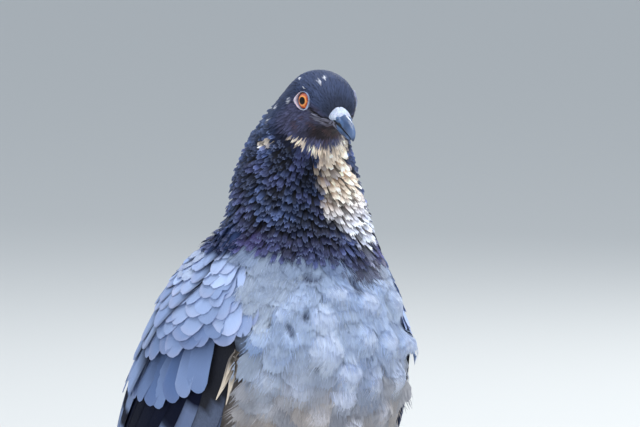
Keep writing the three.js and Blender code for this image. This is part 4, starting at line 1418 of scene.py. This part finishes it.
def scapulars(surface, side, rng):
    """Rows of rounded feathers over the upper edge and the back's side."""
    batches = []
    wing_depth = 95  # mm that t spans
    for row, (tip_s, wide, length) in enumerate(SCAPULAR_ROWS):
        t = np.arange(-.1, .55, wide * .5 / wing_depth) + rng.uniform(-.008, .008)
        n = len(t)
        s = tip_s + .05 * (1 - ease(t, -.05, .3)) - .1 * ease(t, .35, .55) + rng.uniform(-.03, .03, n)
        turn = np.full(n, .06) + .03 * rng.standard_normal(n)
        track = from_tips(surface, s, t, turn, length * np.ones(n), 8)
        widths = wide * rng.uniform(.92, 1.1, n)
        b = feather(surface, track, widths, cols=9, rise=.95,
                    lift=(-1.8, .1 + .05 * row + rng.uniform(0, .6, n)), cup=.035, tip=.5, base=.55,
                    thick=.22, rng=rng, twist=-.05 * side, slant=.6, fringe=.02)
        # painted shade: darker towards the root and on one side, where the next feather lies over it
        rgb = covert_colours(b, rng, .25, .5) * (.22 + .78 * ease(b["a"], .3, .72))[..., None]
        with_colour(b, rgb * (1 - .5 * ease(-side * b["c"], .5, .95))[..., None])
        batches.append(in_cells(b, .03, .02, .7 + .025 * row, .014))
    return batches


def wing_coat(side):
    """All feathers of one folded wing, from the primaries underneath to the scapulars on top."""
    surface = WINGS[side]
    rng = np.random.default_rng(21)
    batches = [primaries(surface, side), secondaries(surface, side, rng), tertials(surface, side)]
    batches += large_coverts(surface, side, rng)
    batches += lesser_coverts(surface, side, rng)
    batches.append(cream_feathers(surface, side))
    batches += scapulars(surface, side, rng)
    name = "left" if side > 0 else "right"
    return coat("feathers_wing_" + name, batches, COVERTS, lambda u, v, b: b["cell"])


def tail_coat():
    """Twelve tail feathers: the middle pair on top, grey with a dark band before the tip."""
    rng = np.random.default_rng(31)
    order = np.array([-11, 11, -9, 9, -7, 7, -5, 5, -3, 3, -1, 1])
    side = order / 11 * .8
    a = np.linspace(0, 1, 14)[None]
    s = .12 + (.985 - .05 * side ** 2 - .12)[:, None] * a
    v = side[:, None] * (.6 + .4 * a)
    track = track_of(tail_face, s, v)
    depth = np.arange(12)[::-1] // 2
    b = feather(tail_face, track, 18., cols=7, lift=(-1 - .3 * depth, -.15 - .22 * depth), cup=.02,
                tip=.4, base=.7, thick=.22, slant=.8, twist=.05 * np.sign(side))
    grey = np.broadcast_to(tone(112, 124, 152), (*b["a"].shape, 3))
    along = whole_vane(b, s)
    rgb = mix(grey, BAR, ease(along, .74, .78) * (1 - ease(along, .93, .96)))
    rgb = mix(rgb, SECONDARY, ease(along, .94, .97))
    outer = (np.abs(side) > .75)[:, None, None] & (np.sign(side)[:, None, None] * b["c"] > .3)
    rgb = mix(rgb, WHITE, outer * (1 - ease(along, .7, .75)))
    with_colour(b, uneven(with_shaft(b, rgb), .05, rng), .05)
    in_cells(b, .05, .075, .5, (.05, .4))
    return coat("feathers_tail", [b], FLIGHT, lambda u, v, b: b["cell"])


def thigh_coat():
    """Small soft feathers down to the ankles."""
    batches = []
    for side in (1, -1):
        surface = THIGHS[side]
        rng = np.random.default_rng(41)
        spacing = lambda p, u, v: 3.4 - 1.5 * ease(u, 1, 3)
        u, v, p = scatter(surface, (.05, 2.95), (0, TURN), spacing, 5000, rng)
        n = len(u)
        _, pu, _, _ = frame_at(surface, u, v)
        size = spacing(p, u, v)
        track = walk(surface, u, v, unit(pu), 3.6 * size * (1 - .8 * ease(u, 1.9, 2.9)), 5)
        tucked = 1 - ease(u, 0, .7)
        lift = (-2.2 * (1 - .6 * ease(u, 2, 3)) - 6 * tucked, -.2 + .4 * rng.random(n) - 3.5 * tucked)
        b = feather(surface, track, 2.1 * size, cols=7, lift=lift, cup=.08, tip=.5, base=.5, fringe=.14,
                    thick=.2, rng=rng)
        bluish = .4 * noise(b["p"][:, :1], 12, 6)[:, :, None]
        rgb = mix(BELLY_GREY, SOFT_BLUE, bluish * np.ones_like(b["a"]))
        rgb = mix(rgb, BEIGE * .85, (1 - ease(u, .4, 1.6))[:, None, None] * .6)
        # darker towards each feather's root: partly the grey down, partly painted shade under the feathers
        # above
        rgb = rgb * (.7 + .35 * ease(b["a"], .1, .8))[..., None]
        with_colour(b, rgb)
        b["half"] = 0. if side > 0 else .5
        batches.append(b)
    across = lambda v, b: np.mod(v, TURN) / TURN * .46 + .02 + b["half"]
    unwrap = lambda u, v, b: np.stack([across(v, b), u / 3 * .94 + .02], -1)
    return coat("feathers_thighs", batches, SOFT, unwrap)


# ---------------- skin

def ring_grid(first, last, rows, cols):
    """Even grid of a length parameter and of the angle round, whose last column joins its first."""
    spin = np.linspace(0, TURN, cols, endpoint=False)
    return np.meshgrid(np.linspace(first, last, rows), spin, indexing="ij")


def inside_out(points, faces):
    """True where the volume under the faces, a sum of triple products, is negative."""
    triangles = [f[:, [0, k, k + 1]] for f in faces for k in range(1, f.shape[1] - 1)]
    a, b, c = points[np.concatenate(triangles)].transpose(1, 0, 2)
    return (a * np.cross(b, c)).sum() <= 0


def shell(points, colour=None):
    """A closed tube from rings (rows, cols, 3): walls and a fan at each end, turned outwards.

    Gives points, quads, triangles and a colour per point; the fans' middles take a ring's colour.
    """
    rows, cols, _ = points.shape
    corners = np.arange(rows * cols).reshape(rows, cols)
    beside = np.roll(corners, -1, 1)
    quads = np.stack([corners[:-1], beside[:-1], beside[1:], corners[1:]], -1).reshape(-1, 4)
    hubs = rows * cols + np.arange(2)
    fans = np.concatenate([np.stack([np.full(cols, hubs[0]), beside[0], corners[0]], -1),
                           np.stack([np.full(cols, hubs[1]), corners[-1], beside[-1]], -1)])
    flat = np.concatenate([points.reshape(-1, 3), points[0].mean(0)[None], points[-1].mean(0)[None]])
    colour = np.broadcast_to(0. if colour is None else colour, points.shape)
    colour = np.concatenate([colour.reshape(-1, 3), colour[[0, -1], 0]])
    if inside_out(flat, [quads, fans]):
        quads, fans = quads[:, ::-1], fans[:, ::-1]
    return flat, quads, fans, colour


def ring_band(loops):
    """A closed ring (turns, section, 3): walls that wrap both ways, turned outwards."""
    turns, cols, _ = loops.shape
    corners = np.arange(turns * cols).reshape(turns, cols)
    right, ahead = np.roll(corners, -1, 1), np.roll(corners, -1, 0)
    quads = np.stack([corners, right, np.roll(ahead, -1, 1), ahead], -1).reshape(-1, 4)
    flat = loops.reshape(-1, 3)
    return flat, [quads[:, ::-1] if inside_out(flat, [quads]) else quads]


def joined(parts):
    """Joins closed shells: their points, their quads and triangles, and their colours."""
    first, points, quads, triangles, colours = 0, [], [], [], []
    for p, q, t, c in parts:
        points.append(p)
        quads.append(q + first)
        triangles.append(t + first)
        colours.append(c)
        first += len(p)
    faces = [np.concatenate(quads), np.concatenate(triangles)]
    return np.concatenate(points), faces, np.concatenate(colours)


def with_fourth(colour, value=1.):
    """Colours with their fourth number."""
    return np.concatenate([colour, np.full((len(colour), 1), value)], 1)


# How deep the flesh lies under the coat's outer face, mm.
COAT_DEPTH = dict(trunk=5., neck=3., head=.95)


def skin():
    """The flesh under the coat: body, wings, tail root and thighs, coloured as the coat is but darker,
    partly as down and partly as painted shade under the feathers.
    """
    parts = []
    place, angle = ring_grid(0, 16, 300, 160)
    p, _, _, n = frame_at(body, place, angle)
    depth = lerp(COAT_DEPTH["trunk"], COAT_DEPTH["neck"], ease(place, 7.4, 8.2))
    depth = lerp(depth, COAT_DEPTH["head"], ease(place, 10.6, 11.4))
    depth = depth * (1 - .7 * (1 - ease(place, 0, 1.5)))
    depth = depth + 2.4 * (1 - ease(off_eye(p), 3.4, 4.8)) * ease(place, 11, 12)
    # the markings darkened: partly the greyer down, partly painted shade under the coat
    colour = body_colour(p, place, angle) * (.62 + .3 * ease(place, 10.6, 11.6))[..., None]
    # painted shade, brown above and beige lower down, in the gap beside the wing's low edge
    _, aside, s, t = over_wing(p)
    gap = (1 - ease(aside, 5, 10)) * ease(t, .85, .93) * ease(s, .0, .04) * (1 - ease(s, .5, .7))
    lower = 1 - ease(p[..., 2], 138, 160)
    colour = mix(colour, mix(SHADED_DOWN_BROWN, BEIGE * .55, lower), gap)
    parts.append(shell(p - n * depth[..., None], colour))
    for side in (1, -1):
        s, t = grid((.01, .97), 60, (.04, .96), 24)
        p, _, _, n = frame_at(WINGS[side], s, t)
        taper = 1 - .8 * s ** .8
        depth = 1.2 * (.5 + .5 * taper) + 5.8 * np.sin(np.pi * t) ** .6 * taper
        outer, inner = p - n * (.75 * depth)[..., None], p - n * (.95 * depth)[..., None]
        ring = np.concatenate([outer, inner[:, ::-1]], 1)
        colour = wing_colour(ring, np.concatenate([s, s], 1), np.concatenate([t, t[:, ::-1]], 1)) * .6
        parts.append(shell(ring, colour))
        u, v = ring_grid(0, 3, 40, 40)
        p, _, _, n = frame_at(THIGHS[side], u, v)
        depth = 2.4 - 1.6 * ease(u, 1.8, 3) + 7 * (1 - ease(u, 0, .7))
        parts.append(shell(p - n * depth[..., None], BELLY_GREY * .6))
    s, v = grid((0, .8), 20, (-.8, .8), 14)
    p, _, _, n = frame_at(tail_face, s, v)
    outer, inner = p - n * 2.2, p - n * (3 + 3.4 * (1 - s))[..., None]
    parts.append(shell(np.concatenate([outer, inner[:, ::-1]], 1), VENT_GREY * .5))
    points, faces, colour = joined(parts)
    thing = write_mesh("skin", points, faces, {"plumage": with_fourth(colour, 0.)})
    made, tree, shader = new_material("skin_down", Roughness=.85)
    down = grain_of(tree, object_place(tree), 900., 3.)
    link(tree, shader, Base_Color=mottled(tree, attribute(tree, "plumage"), down, .6),
         Normal=raised(tree, down, .5, .0006))
    thing.data.materials.append(made)
    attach(thing, "root")
    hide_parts("head", "neck", "trunk", "wing_left", "wing_right", "wingtip_left", "wingtip_right",
                "tail", "thigh_left", "thigh_right")
    return thing


# ---------------- eyes, lids, bill

def eye(side):
    """An eyeball with a slightly domed cornea: colour by the distance from its axis."""
    name = "eye_left" if side > 0 else "eye_right"
    axis = EYE_AXIS[side]
    up = np.array([0, 0, 1.])
    across = np.cross(up, axis)
    polar, spin = ring_grid(.02, np.pi - .02, 60, 72)
    rho = EYE_RADIUS * np.sin(polar)
    front = polar < np.pi / 2
    radius = EYE_RADIUS + .22 * front * (1 - ease(rho, 1.4, 3.3))
    ball = (np.cos(polar)[..., None] * axis + (np.sin(polar) * np.cos(spin))[..., None] * across
            + (np.sin(polar) * np.sin(spin))[..., None] * up)
    # the pupil, the iris and the dark outer ring follow the distance from the axis
    iris = mix(tone(214, 74, 30), tone(238, 130, 60), ease(noise(ball * 6, .5, 8), .35, .7))
    # pinkish upper part of the iris: a painted reflection of the sky
    iris = mix(iris, tone(226, 140, 128), ease(np.sin(spin), .25, .95) * ease(rho, 1.5, 2.4) * .65)
    iris = mix(iris, tone(250, 176, 96), np.exp(-((rho - 1.75) / .22) ** 2))
    iris = mix(iris, tone(150, 44, 24), ease(rho, 2.6, 3.05) * .7)
    colour = mix(np.broadcast_to(tone(6, 5, 7), iris.shape), iris, ease(rho, 1.42, 1.54))
    colour = mix(colour, tone(38, 20, 22), ease(rho, 2.9, 3.15))
    colour = np.where(front[..., None], colour, tone(38, 20, 22))
    points, quads, fans, colour = shell(EYE_CENTRE[side] + radius[..., None] * ball, colour)
    thing = write_mesh(name + "_ball", points, [quads, fans], {"iris": with_fourth(colour)})
    made, tree, shader = new_material(name + "_wet", Roughness=.4, Specular_IOR_Level=.15, Coat_Weight=.3,
                                      Coat_Roughness=.03)
    grain = grain_of(tree, object_place(tree), 2600., 2.)
    link(tree, shader, Base_Color=mottled(tree, attribute(tree, "iris"), grain, .5))
    thing.data.materials.append(made)
    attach(thing, "root")
    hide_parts(name)
    return thing


def lid(side):
    """The bare ring round the eye: a rolled band on the head's surface, drawn out at the rear."""
    name = "lid_left" if side > 0 else "lid_right"
    turns, steps = 96, 16
    spin = np.linspace(0, TURN, turns, endpoint=False)
    shares = np.linspace(0, 1, steps)
    axis = EYE_AXIS[side]
    up = np.array([0, 0, 1.])
    rear = unit(np.array([0, 1., 0]) - axis * axis[1])
    direction = np.cos(spin)[:, None] * rear + np.sin(spin)[:, None] * up
    corner = np.exp(-(((spin + np.pi) % TURN - np.pi) / .38) ** 2)
    wrinkle = noise(np.stack([np.cos(spin) * 6, np.sin(spin) * 6, 0 * spin], -1), .8, 9) - .5
    inner, outer = 3.3, 4.1 + 1.7 * corner + .2 * wrinkle
    on_eye = EYE_RADIUS + .08
    rings = []
    for share in shares:
        rho = inner + (outer - inner) * share
        # drop the flat ring on to the head along the axis
        place = np.full(turns, EYE_PLACE)
        angle = np.full(turns, EYE_ANGLE if side > 0 else TURN - EYE_ANGLE)
        target = EYE_CENTRE[side] + axis * EYE_RADIUS + direction * rho[:, None]
        for _ in range(4):
            p, pu, pv, n = frame_at(body, place, angle)
            move = target - p
            move = move - dot(move, n) * n
            du, dv = solve(pu, pv, move)
            place, angle = place + du, angle + dv
        p, _, _, n = frame_at(body, place, angle)
        height = np.interp(share, [0, .3, .6, .85, 1], [.1, .3, .2, -.1, -.8])
        height = height + .1 * (noise(p, .9, 12) - .5) * np.sin(np.pi * share)
        on_head = p + n * height[:, None]
        slope = np.arcsin(np.minimum(rho / on_eye, .97))[:, None]
        on_ball = EYE_CENTRE[side] + on_eye * (np.cos(slope) * axis + np.sin(slope) * direction)
        rings.append(lerp(on_ball, on_head, ease(share, 0, .35)))
    top = np.stack(rings, 1)
    bottom = top[:, ::-1] - axis * 1.2
    loop = np.concatenate([top, bottom[:, 1:-1]], 1)
    above, behind = np.sin(spin)[:, None], np.cos(spin)[:, None]
    share = np.concatenate([shares, shares[::-1][1:-1]])[None]
    tint = mix(tone(104, 116, 146), tone(176, 190, 216), (1 - ease(above, -.8, .1)) * np.ones_like(share))
    tint = mix(tint, tone(228, 208, 222), ease(behind, .1, .8) * ease(share, .05, .3))
    tint = mix(tint, tone(52, 40, 52), (1 - ease(share, .06, .25)) * (.3 + .65 * ease(above, .1, .8)))
    tint = mix(tint, tone(92, 100, 132), ease(share, .75, .95) * .7)
    thing = write_mesh(name, *ring_band(loop), {"hide": with_fourth(tint.reshape(-1, 3))})
    made, tree, shader = new_material(name + "_bare", Roughness=.55, Subsurface_Weight=.1)
    where = object_place(tree)
    soft = grain_of(tree, where, 700., 2.)
    link(tree, shader, Base_Color=mottled(tree, attribute(tree, "hide"), soft, .6),
         Normal=raised(tree, cells_of(tree, where, 1300.), .6, .0003))
    thing.data.materials.append(made)
    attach(thing, "root")
    return thing


def bill_half(name, rows, node_name):
    """Oval loft of one half of the bill; the halves meet in a groove along the gape, darkened with painted
    shade over the dark mouth.
    """
    upper = node_name == "bill_upper"
    place, angle = ring_grid(0, len(rows) - 1, 110, 80)
    rows = rows.copy()
    share = np.interp(np.arange(len(rows)), [0, 1, len(rows) - 2, len(rows) - 1], [0, 1, 1, 0])[:, None]
    down = unit(rows[:, 2:4] - rows[:, 0:2]) * share
    # the halves reach into each other, so that no gap opens along the gape
    if upper:
        rows[:, 2:4] += down * .5
    else:
        rows[:, 0:2] -= down * 1.3
    p, _, _, n = frame_at(outward(lambda u, v: oval(rows, u, v), 2., 0., (0, 0, 1)), place, angle)
    sink = .4 * np.exp(-(off_gape(p) / .4) ** 2)
    if upper:
        off = (np.stack([SHIFT - p[..., 1], p[..., 2]], -1) - NOSTRIL) @ NOSTRIL_TURN
        nostril = np.linalg.norm(off / NOSTRIL_SLIT, axis=-1)
        sink = sink + .55 * (1 - ease(nostril, .5, 1.1)) * (np.abs(p[..., 0]) > 1)
    p = p - n * sink[..., None]
    horn = mix(tone(72, 104, 150), tone(50, 74, 112), ease(noise(p, 2.5, 14), .35, .7))
    horn = mix(horn, tone(112, 138, 182), ease(place, 3.4, 4.4) * (1 - ease(place, 4.8, 5.6)) * .5)
    horn = mix(horn, tone(40, 48, 66), ease(place, len(rows) - 2, len(rows) - 1) * .6)
    if not upper:
        bare = mix(GAPE_GREY, CHIN, ease(noise(p, .7, 25), .45, .65))
        horn = mix(horn, bare, 1 - ease(SHIFT - p[..., 1] + .8 * (noise(p, 1.2, 26) - .5), 53., 54.4))
    # the gape groove and the nostril slit: painted shade over their dark insides
    horn = mix(horn, tone(10, 10, 14), ease(sink, .04, .22))
    points, quads, fans, horn = shell(p, horn)
    thing = write_mesh(name, points, [quads, fans], {"horn": with_fourth(horn)})
    made, tree, shader = new_material(name + "_horn", Roughness=.35, Coat_Weight=.25, Coat_Roughness=.25)
    stretched = node(tree, "ShaderNodeMapping", {},
                     {"Vector": object_place(tree), "Scale": (900., 260., 900.)})
    grain = grain_of(tree, stretched, 1., 4.)
    link(tree, shader, Base_Color=mottled(tree, attribute(tree, "horn"), grain, .7),
         Roughness=(grain - .5) * .3 + .38, Normal=raised(tree, grain, .25, .0002))
    thing.data.materials.append(made)
    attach(thing, "root")
    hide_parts(node_name)
    return thing


def tilted(points, degrees):
    """Points turned about the X axis through the origin."""
    return points @ np.array(Matrix.Rotation(math.radians(degrees), 3, "X")).T


def ball_points(rows, cols):
    """A ball of radius 1 as rings along Y: sines and cosines of its polar angle and the angle round."""
    polar, spin = ring_grid(.03, np.pi - .03, rows, cols)
    return np.stack([np.sin(polar) * np.cos(spin), -np.cos(polar), np.sin(polar) * np.sin(spin)], -1)


def cere():
    """The chalky swelling over the nostrils: a saddle bent over the ridge, creased in the middle.

    A squashed ball whose sides drop with the square of the distance from the middle, with its
    front edge drawn back over the ridge.
    """
    ball = ball_points(60, 96)
    lump = ball * CERE_SADDLE["size"] * (1 + .05 * (noise(ball * 3, .9, 15) - .5))[..., None]
    x = lump[..., 0]
    middle = np.exp(-(x / 1.3) ** 2)
    lump[..., 1] += .5 * middle * ease(-ball[..., 1], 0, 1)
    lump[..., 2] -= CERE_SADDLE["bend"] * x ** 2 + .35 * np.exp(-(x / .45) ** 2) * ease(ball[..., 2], 0, .6)
    points, quads, fans, _ = shell(at(CERE_SADDLE["at"]) + tilted(lump, CERE_SADDLE["tilt"]))
    thing = write_mesh("cere_lobes", points, [quads, fans])
    made, tree, shader = new_material("cere_powder", Roughness=.9, Subsurface_Weight=.1)
    where = object_place(tree)
    chalk = grain_of(tree, where, 1500., 4., .7)
    patches = grain_of(tree, where, 420., 2.)
    powder = ramp(tree, chalk * .5 + patches * .5,
                  [(.32, tone(132, 134, 160)), (.45, tone(174, 180, 202)), (.62, tone(210, 215, 233))])
    link(tree, shader, Base_Color=powder, Normal=raised(tree, chalk, .5, .0004))
    thing.data.materials.append(made)
    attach(thing, "root")
    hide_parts("cere")
    return thing


def nostril_flaps():
    """A smooth horn swelling over each nostril slit, just under the cere: small squashed balls."""
    flap = tilted(ball_points(24, 32) * NOSTRIL_FLAP["size"], NOSTRIL_FLAP["tilt"])
    points, faces, _ = joined([shell(at(NOSTRIL_FLAP["at"]) * [side, 1, 1] + flap) for side in (1, -1)])
    thing = write_mesh("nostril_flaps", points, faces)
    made, tree, shader = new_material("flap_horn", Roughness=.45)
    grain = grain_of(tree, object_place(tree), 900., 3.)
    link(tree, shader, Base_Color=ramp(tree, grain, [(.35, tone(44, 58, 88)), (.6, tone(78, 104, 146))]),
         Normal=raised(tree, grain, .3, .0003))
    thing.data.materials.append(made)
    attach(thing, "root")
    return thing


# ---------------- legs

def tube(rows, steps, cols, across, swell=None):
    """A tube through rows [x, ahead, z, half width, half depth]; swell adds height by place and angle.

    across is the sideways direction; the angle is 0 there and a quarter turn at the top or front.
    """
    last = len(rows) - 1
    rows = np.asarray(rows, float)
    place, angle = ring_grid(0, last, steps, cols)
    r = catmull(rows, place)
    step = lambda k: at(catmull(rows, np.clip(place + k, 0, last))[..., :3])
    along = unit(step(.05) - step(-.05))
    up = unit(np.cross(along, across))
    side = np.cross(up, along)
    out = np.cos(angle)[..., None] * side * r[..., 3:4] + np.sin(angle)[..., None] * up * r[..., 4:5]
    p = at(r[..., :3]) + out
    height = 0 if swell is None else swell(place, angle)
    return p + unit(out) * np.asarray(height)[..., None], place, angle, height


def plates(count, last, deep=.28):
    """Overlapping plates across the front of a leg: a sawtooth along it, flat behind."""
    def swell(place, angle):
        tooth = np.mod(place / last * count, 1)
        front = ease(np.sin(angle), -.2, .3)
        return deep * (tooth ** .6 * (1 - ease(tooth, .88, 1)) - .6) * front
    return swell


def along_toe(toe, away):
    """Place [x, ahead] that far from the foot's joint along a toe of the left foot."""
    turn = math.radians(toe["heading"])
    return [FOOT_JOINT[0] + away * math.sin(turn), FOOT_JOINT[1] + away * math.cos(turn)]


def beside_toe(toe):
    """Direction across a toe, level."""
    turn = math.radians(toe["heading"])
    return math.cos(turn), math.sin(turn), 0


def standing(points, side):
    """Points of the left leg on either side, flattened where they would sink into the floor."""
    points = points * [side, 1, 1]
    points[..., 2] = np.maximum(points[..., 2], SOLE_Z)
    return points


def shank_tube():
    """The shank with its plates, from the ankle to the foot's joint."""
    rows = []
    last = len(SHANK_RADIUS) - 1
    for k, radius in enumerate(SHANK_RADIUS):
        share = k / last
        x, ahead, z = lerp(np.array(ANKLE), np.array(FOOT_JOINT), share) + [0, 0, 2 * (1 - share)]
        rows.append([x, ahead, z, radius * .86, radius * .98])
    return tube(rows, 150, 40, (1, 0, 0), plates(15, last, .25))


def toe_tube(toe):
    """One toe with plates above: it gets thinner towards its tip and swells a little at its joints."""
    rows = []
    last = 6
    for k in range(last + 1):
        share = k / last
        radius = lerp(toe["radius"], toe["radius"] * TOE_TAPER, share)
        radius = radius * (1 + .08 * math.cos(k * math.pi)) * .96
        away = lerp(PAD_RADIUS * .5, toe["length"], share)
        rows.append([*along_toe(toe, away), radius * .86, radius, radius])
    count = round(toe["length"] / 1.7)
    return tube(rows, 8 * count, 32, beside_toe(toe), plates(count, last, .2))


def leg(side):
    """One bare leg: shank and four toes with overlapping plates above and pads below, and a round sole."""
    parts = []
    for p, _, angle, height in (shank_tube(), *(toe_tube(toe) for toe in TOES)):
        p = standing(p, side)
        colour = mix(LEG_RED, LEG_PINK, noise(p, 2.2, 18))
        colour = mix(colour, tone(120, 52, 52), ease(-height, .02, .16) * .7)
        colour = mix(colour, tone(196, 150, 138), (1 - ease(np.sin(angle), -.6, 0)) * .5)
        parts.append(shell(p, colour))
    polar, spin = ring_grid(.05, np.pi - .05, 24, 40)
    knob = np.stack([np.sin(polar) * np.cos(spin), np.sin(polar) * np.sin(spin), -np.cos(polar)], -1)
    p = standing(at([FOOT_JOINT[0], FOOT_JOINT[1], PAD_Z]) + knob * PAD_RADIUS * .97, side)
    parts.append(shell(p, mix(LEG_RED, LEG_PINK, noise(p, 2.2, 18))))
    points, faces, colour = joined(parts)
    name = "left" if side > 0 else "right"
    thing = write_mesh("leg_scales_" + name, points, faces, {"hide": with_fourth(colour)})
    made, tree, shader = new_material("leg_scales_" + name, Roughness=.5, Subsurface_Weight=.15,
                                      Subsurface_Radius=(.0015, .0006, .0004), Subsurface_Scale=1.)
    where = object_place(tree)
    dust = grain_of(tree, where, 500., 3.)
    link(tree, shader, Base_Color=mottled(tree, attribute(tree, "hide"), dust, .7),
         Normal=raised(tree, cells_of(tree, where, 900.), .6, .0003))
    thing.data.materials.append(made)
    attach(thing, "root")
    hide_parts("shank_" + name, *("toe_" + toe["name"] + "_" + name for toe in TOES))
    return thing


def claw_rows(toe):
    """A claw's path: out from the toe's tip, arched up by a sine and down to the floor, thinning."""
    start_z = toe["radius"] * TOE_TAPER * .95
    rows = []
    for k in range(5):
        share = k / 4
        away = toe["length"] - 1.5 + (CLAW["length"] + 1.4) * share
        z = start_z + CLAW["arch"] * math.sin(share * math.pi * .8) + (.4 - start_z) * share ** 2
        radius = CLAW["radius"] * (1 - .85 * share ** 1.3)
        rows.append([*along_toe(toe, away), z, radius * .75, radius])
    return rows


def claws():
    """Eight blunt curved claws, darker to the point."""
    parts = []
    for side in (1, -1):
        for toe in TOES:
            p, place, _, _ = tube(claw_rows(toe), 40, 20, beside_toe(toe))
            colour = mix(tone(74, 66, 66), tone(24, 22, 26), ease(place, 1, 4))
            parts.append(shell(standing(p, side), colour))
    points, faces, colour = joined(parts)
    thing = write_mesh("claws", points, faces, {"hide": with_fourth(colour)})
    made, tree, shader = new_material("claw_horn", Roughness=.35)
    grain = grain_of(tree, object_place(tree), 1200., 3.)
    link(tree, shader, Base_Color=mottled(tree, attribute(tree, "hide"), grain, .8),
         Roughness=(grain - .5) * .3 + .35)
    thing.data.materials.append(made)
    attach(thing, "root")
    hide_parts(*("claw_" + toe["name"] + "_" + name for toe in TOES for name in ("left", "right")))
    return thing


# ---------------- stage

def floor_and_light():
    """A wide pale floor, a bluish sky and three round panels."""
    half = 60.
    corners = [(-half, -half, 0), (half, -half, 0), (half, half, 0), (-half, half, 0)]
    mesh = bpy.data.meshes.new("floor")
    mesh.from_pydata(corners, [], [(0, 1, 2, 3)])
    floor = bpy.data.objects.new("floor", mesh)
    bpy.context.scene.collection.objects.link(floor)
    made, tree, shader = new_material("floor_pale", Roughness=.9)
    shader.inputs["Base Color"].default_value = (.62, .63, .62, 1)
    mesh.materials.append(made)
    world = bpy.data.worlds.new("studio")
    world.use_nodes = True
    sky = world.node_tree.nodes["Background"]
    sky.inputs["Color"].default_value = (.82, .9, 1., 1)
    sky.inputs["Strength"].default_value = .7
    bpy.context.scene.world = world

    def lamp(name, place, aim, size, power):
        """A round panel size m across at a place in metres, turned to its aim."""
        data = bpy.data.lights.new(name, "AREA")
        data.shape, data.size, data.energy = "DISK", size, power
        thing = bpy.data.objects.new(name, data)
        thing.location = place
        thing.rotation_euler = (Vector(aim) - Vector(place)).to_track_quat("-Z", "Y").to_euler()
        bpy.context.scene.collection.objects.link(thing)

    lamp("sky_panel", (.2, -.5, 2.2), (0, 0, .2), 1.6, 42)
    lamp("front_panel", (-.9, -2.6, .9), (0, 0, .2), 1.2, 16)
    lamp("rim_panel", (1.4, 1.2, 1.3), (0, 0, .2), .9, 14)


def camera():
    """A long lens on the bird's breast and head, to the bird's right and a little above."""
    round_by, above, distance = math.radians(-27), math.radians(4), 2.84
    back = Vector((math.sin(round_by) * math.cos(above), -math.cos(round_by) * math.cos(above),
                   math.sin(above)))
    right = Vector((math.cos(round_by), math.sin(round_by), 0))
    aim_z, aside = .211, .0156
    aim = Vector((0, SHIFT * MM, aim_z)) + right * aside
    data = bpy.data.cameras.new("camera")
    data.lens, data.sensor_width, data.clip_end = 400, 36, 300
    thing = bpy.data.objects.new("camera", data)
    thing.location = aim + back * distance
    thing.rotation_euler = (-back).to_track_quat("-Z", "Y").to_euler()
    bpy.context.scene.collection.objects.link(thing)
    bpy.context.scene.camera = thing


bpy.context.scene.view_settings.view_transform = "Standard"
floor_and_light()
camera()
skin()
head_coat()
neck_coat()
breast_coat()
back_coat()
for side in (1, -1):
    wing_coat(side)
    eye(side)
    lid(side)
tail_coat()
thigh_coat()
bill_half("bill_upper_horn", UPPER_BILL, "bill_upper")
bill_half("bill_lower_horn", LOWER_BILL, "bill_lower")
cere()
nostril_flaps()
leg(1)
leg(-1)
claws()
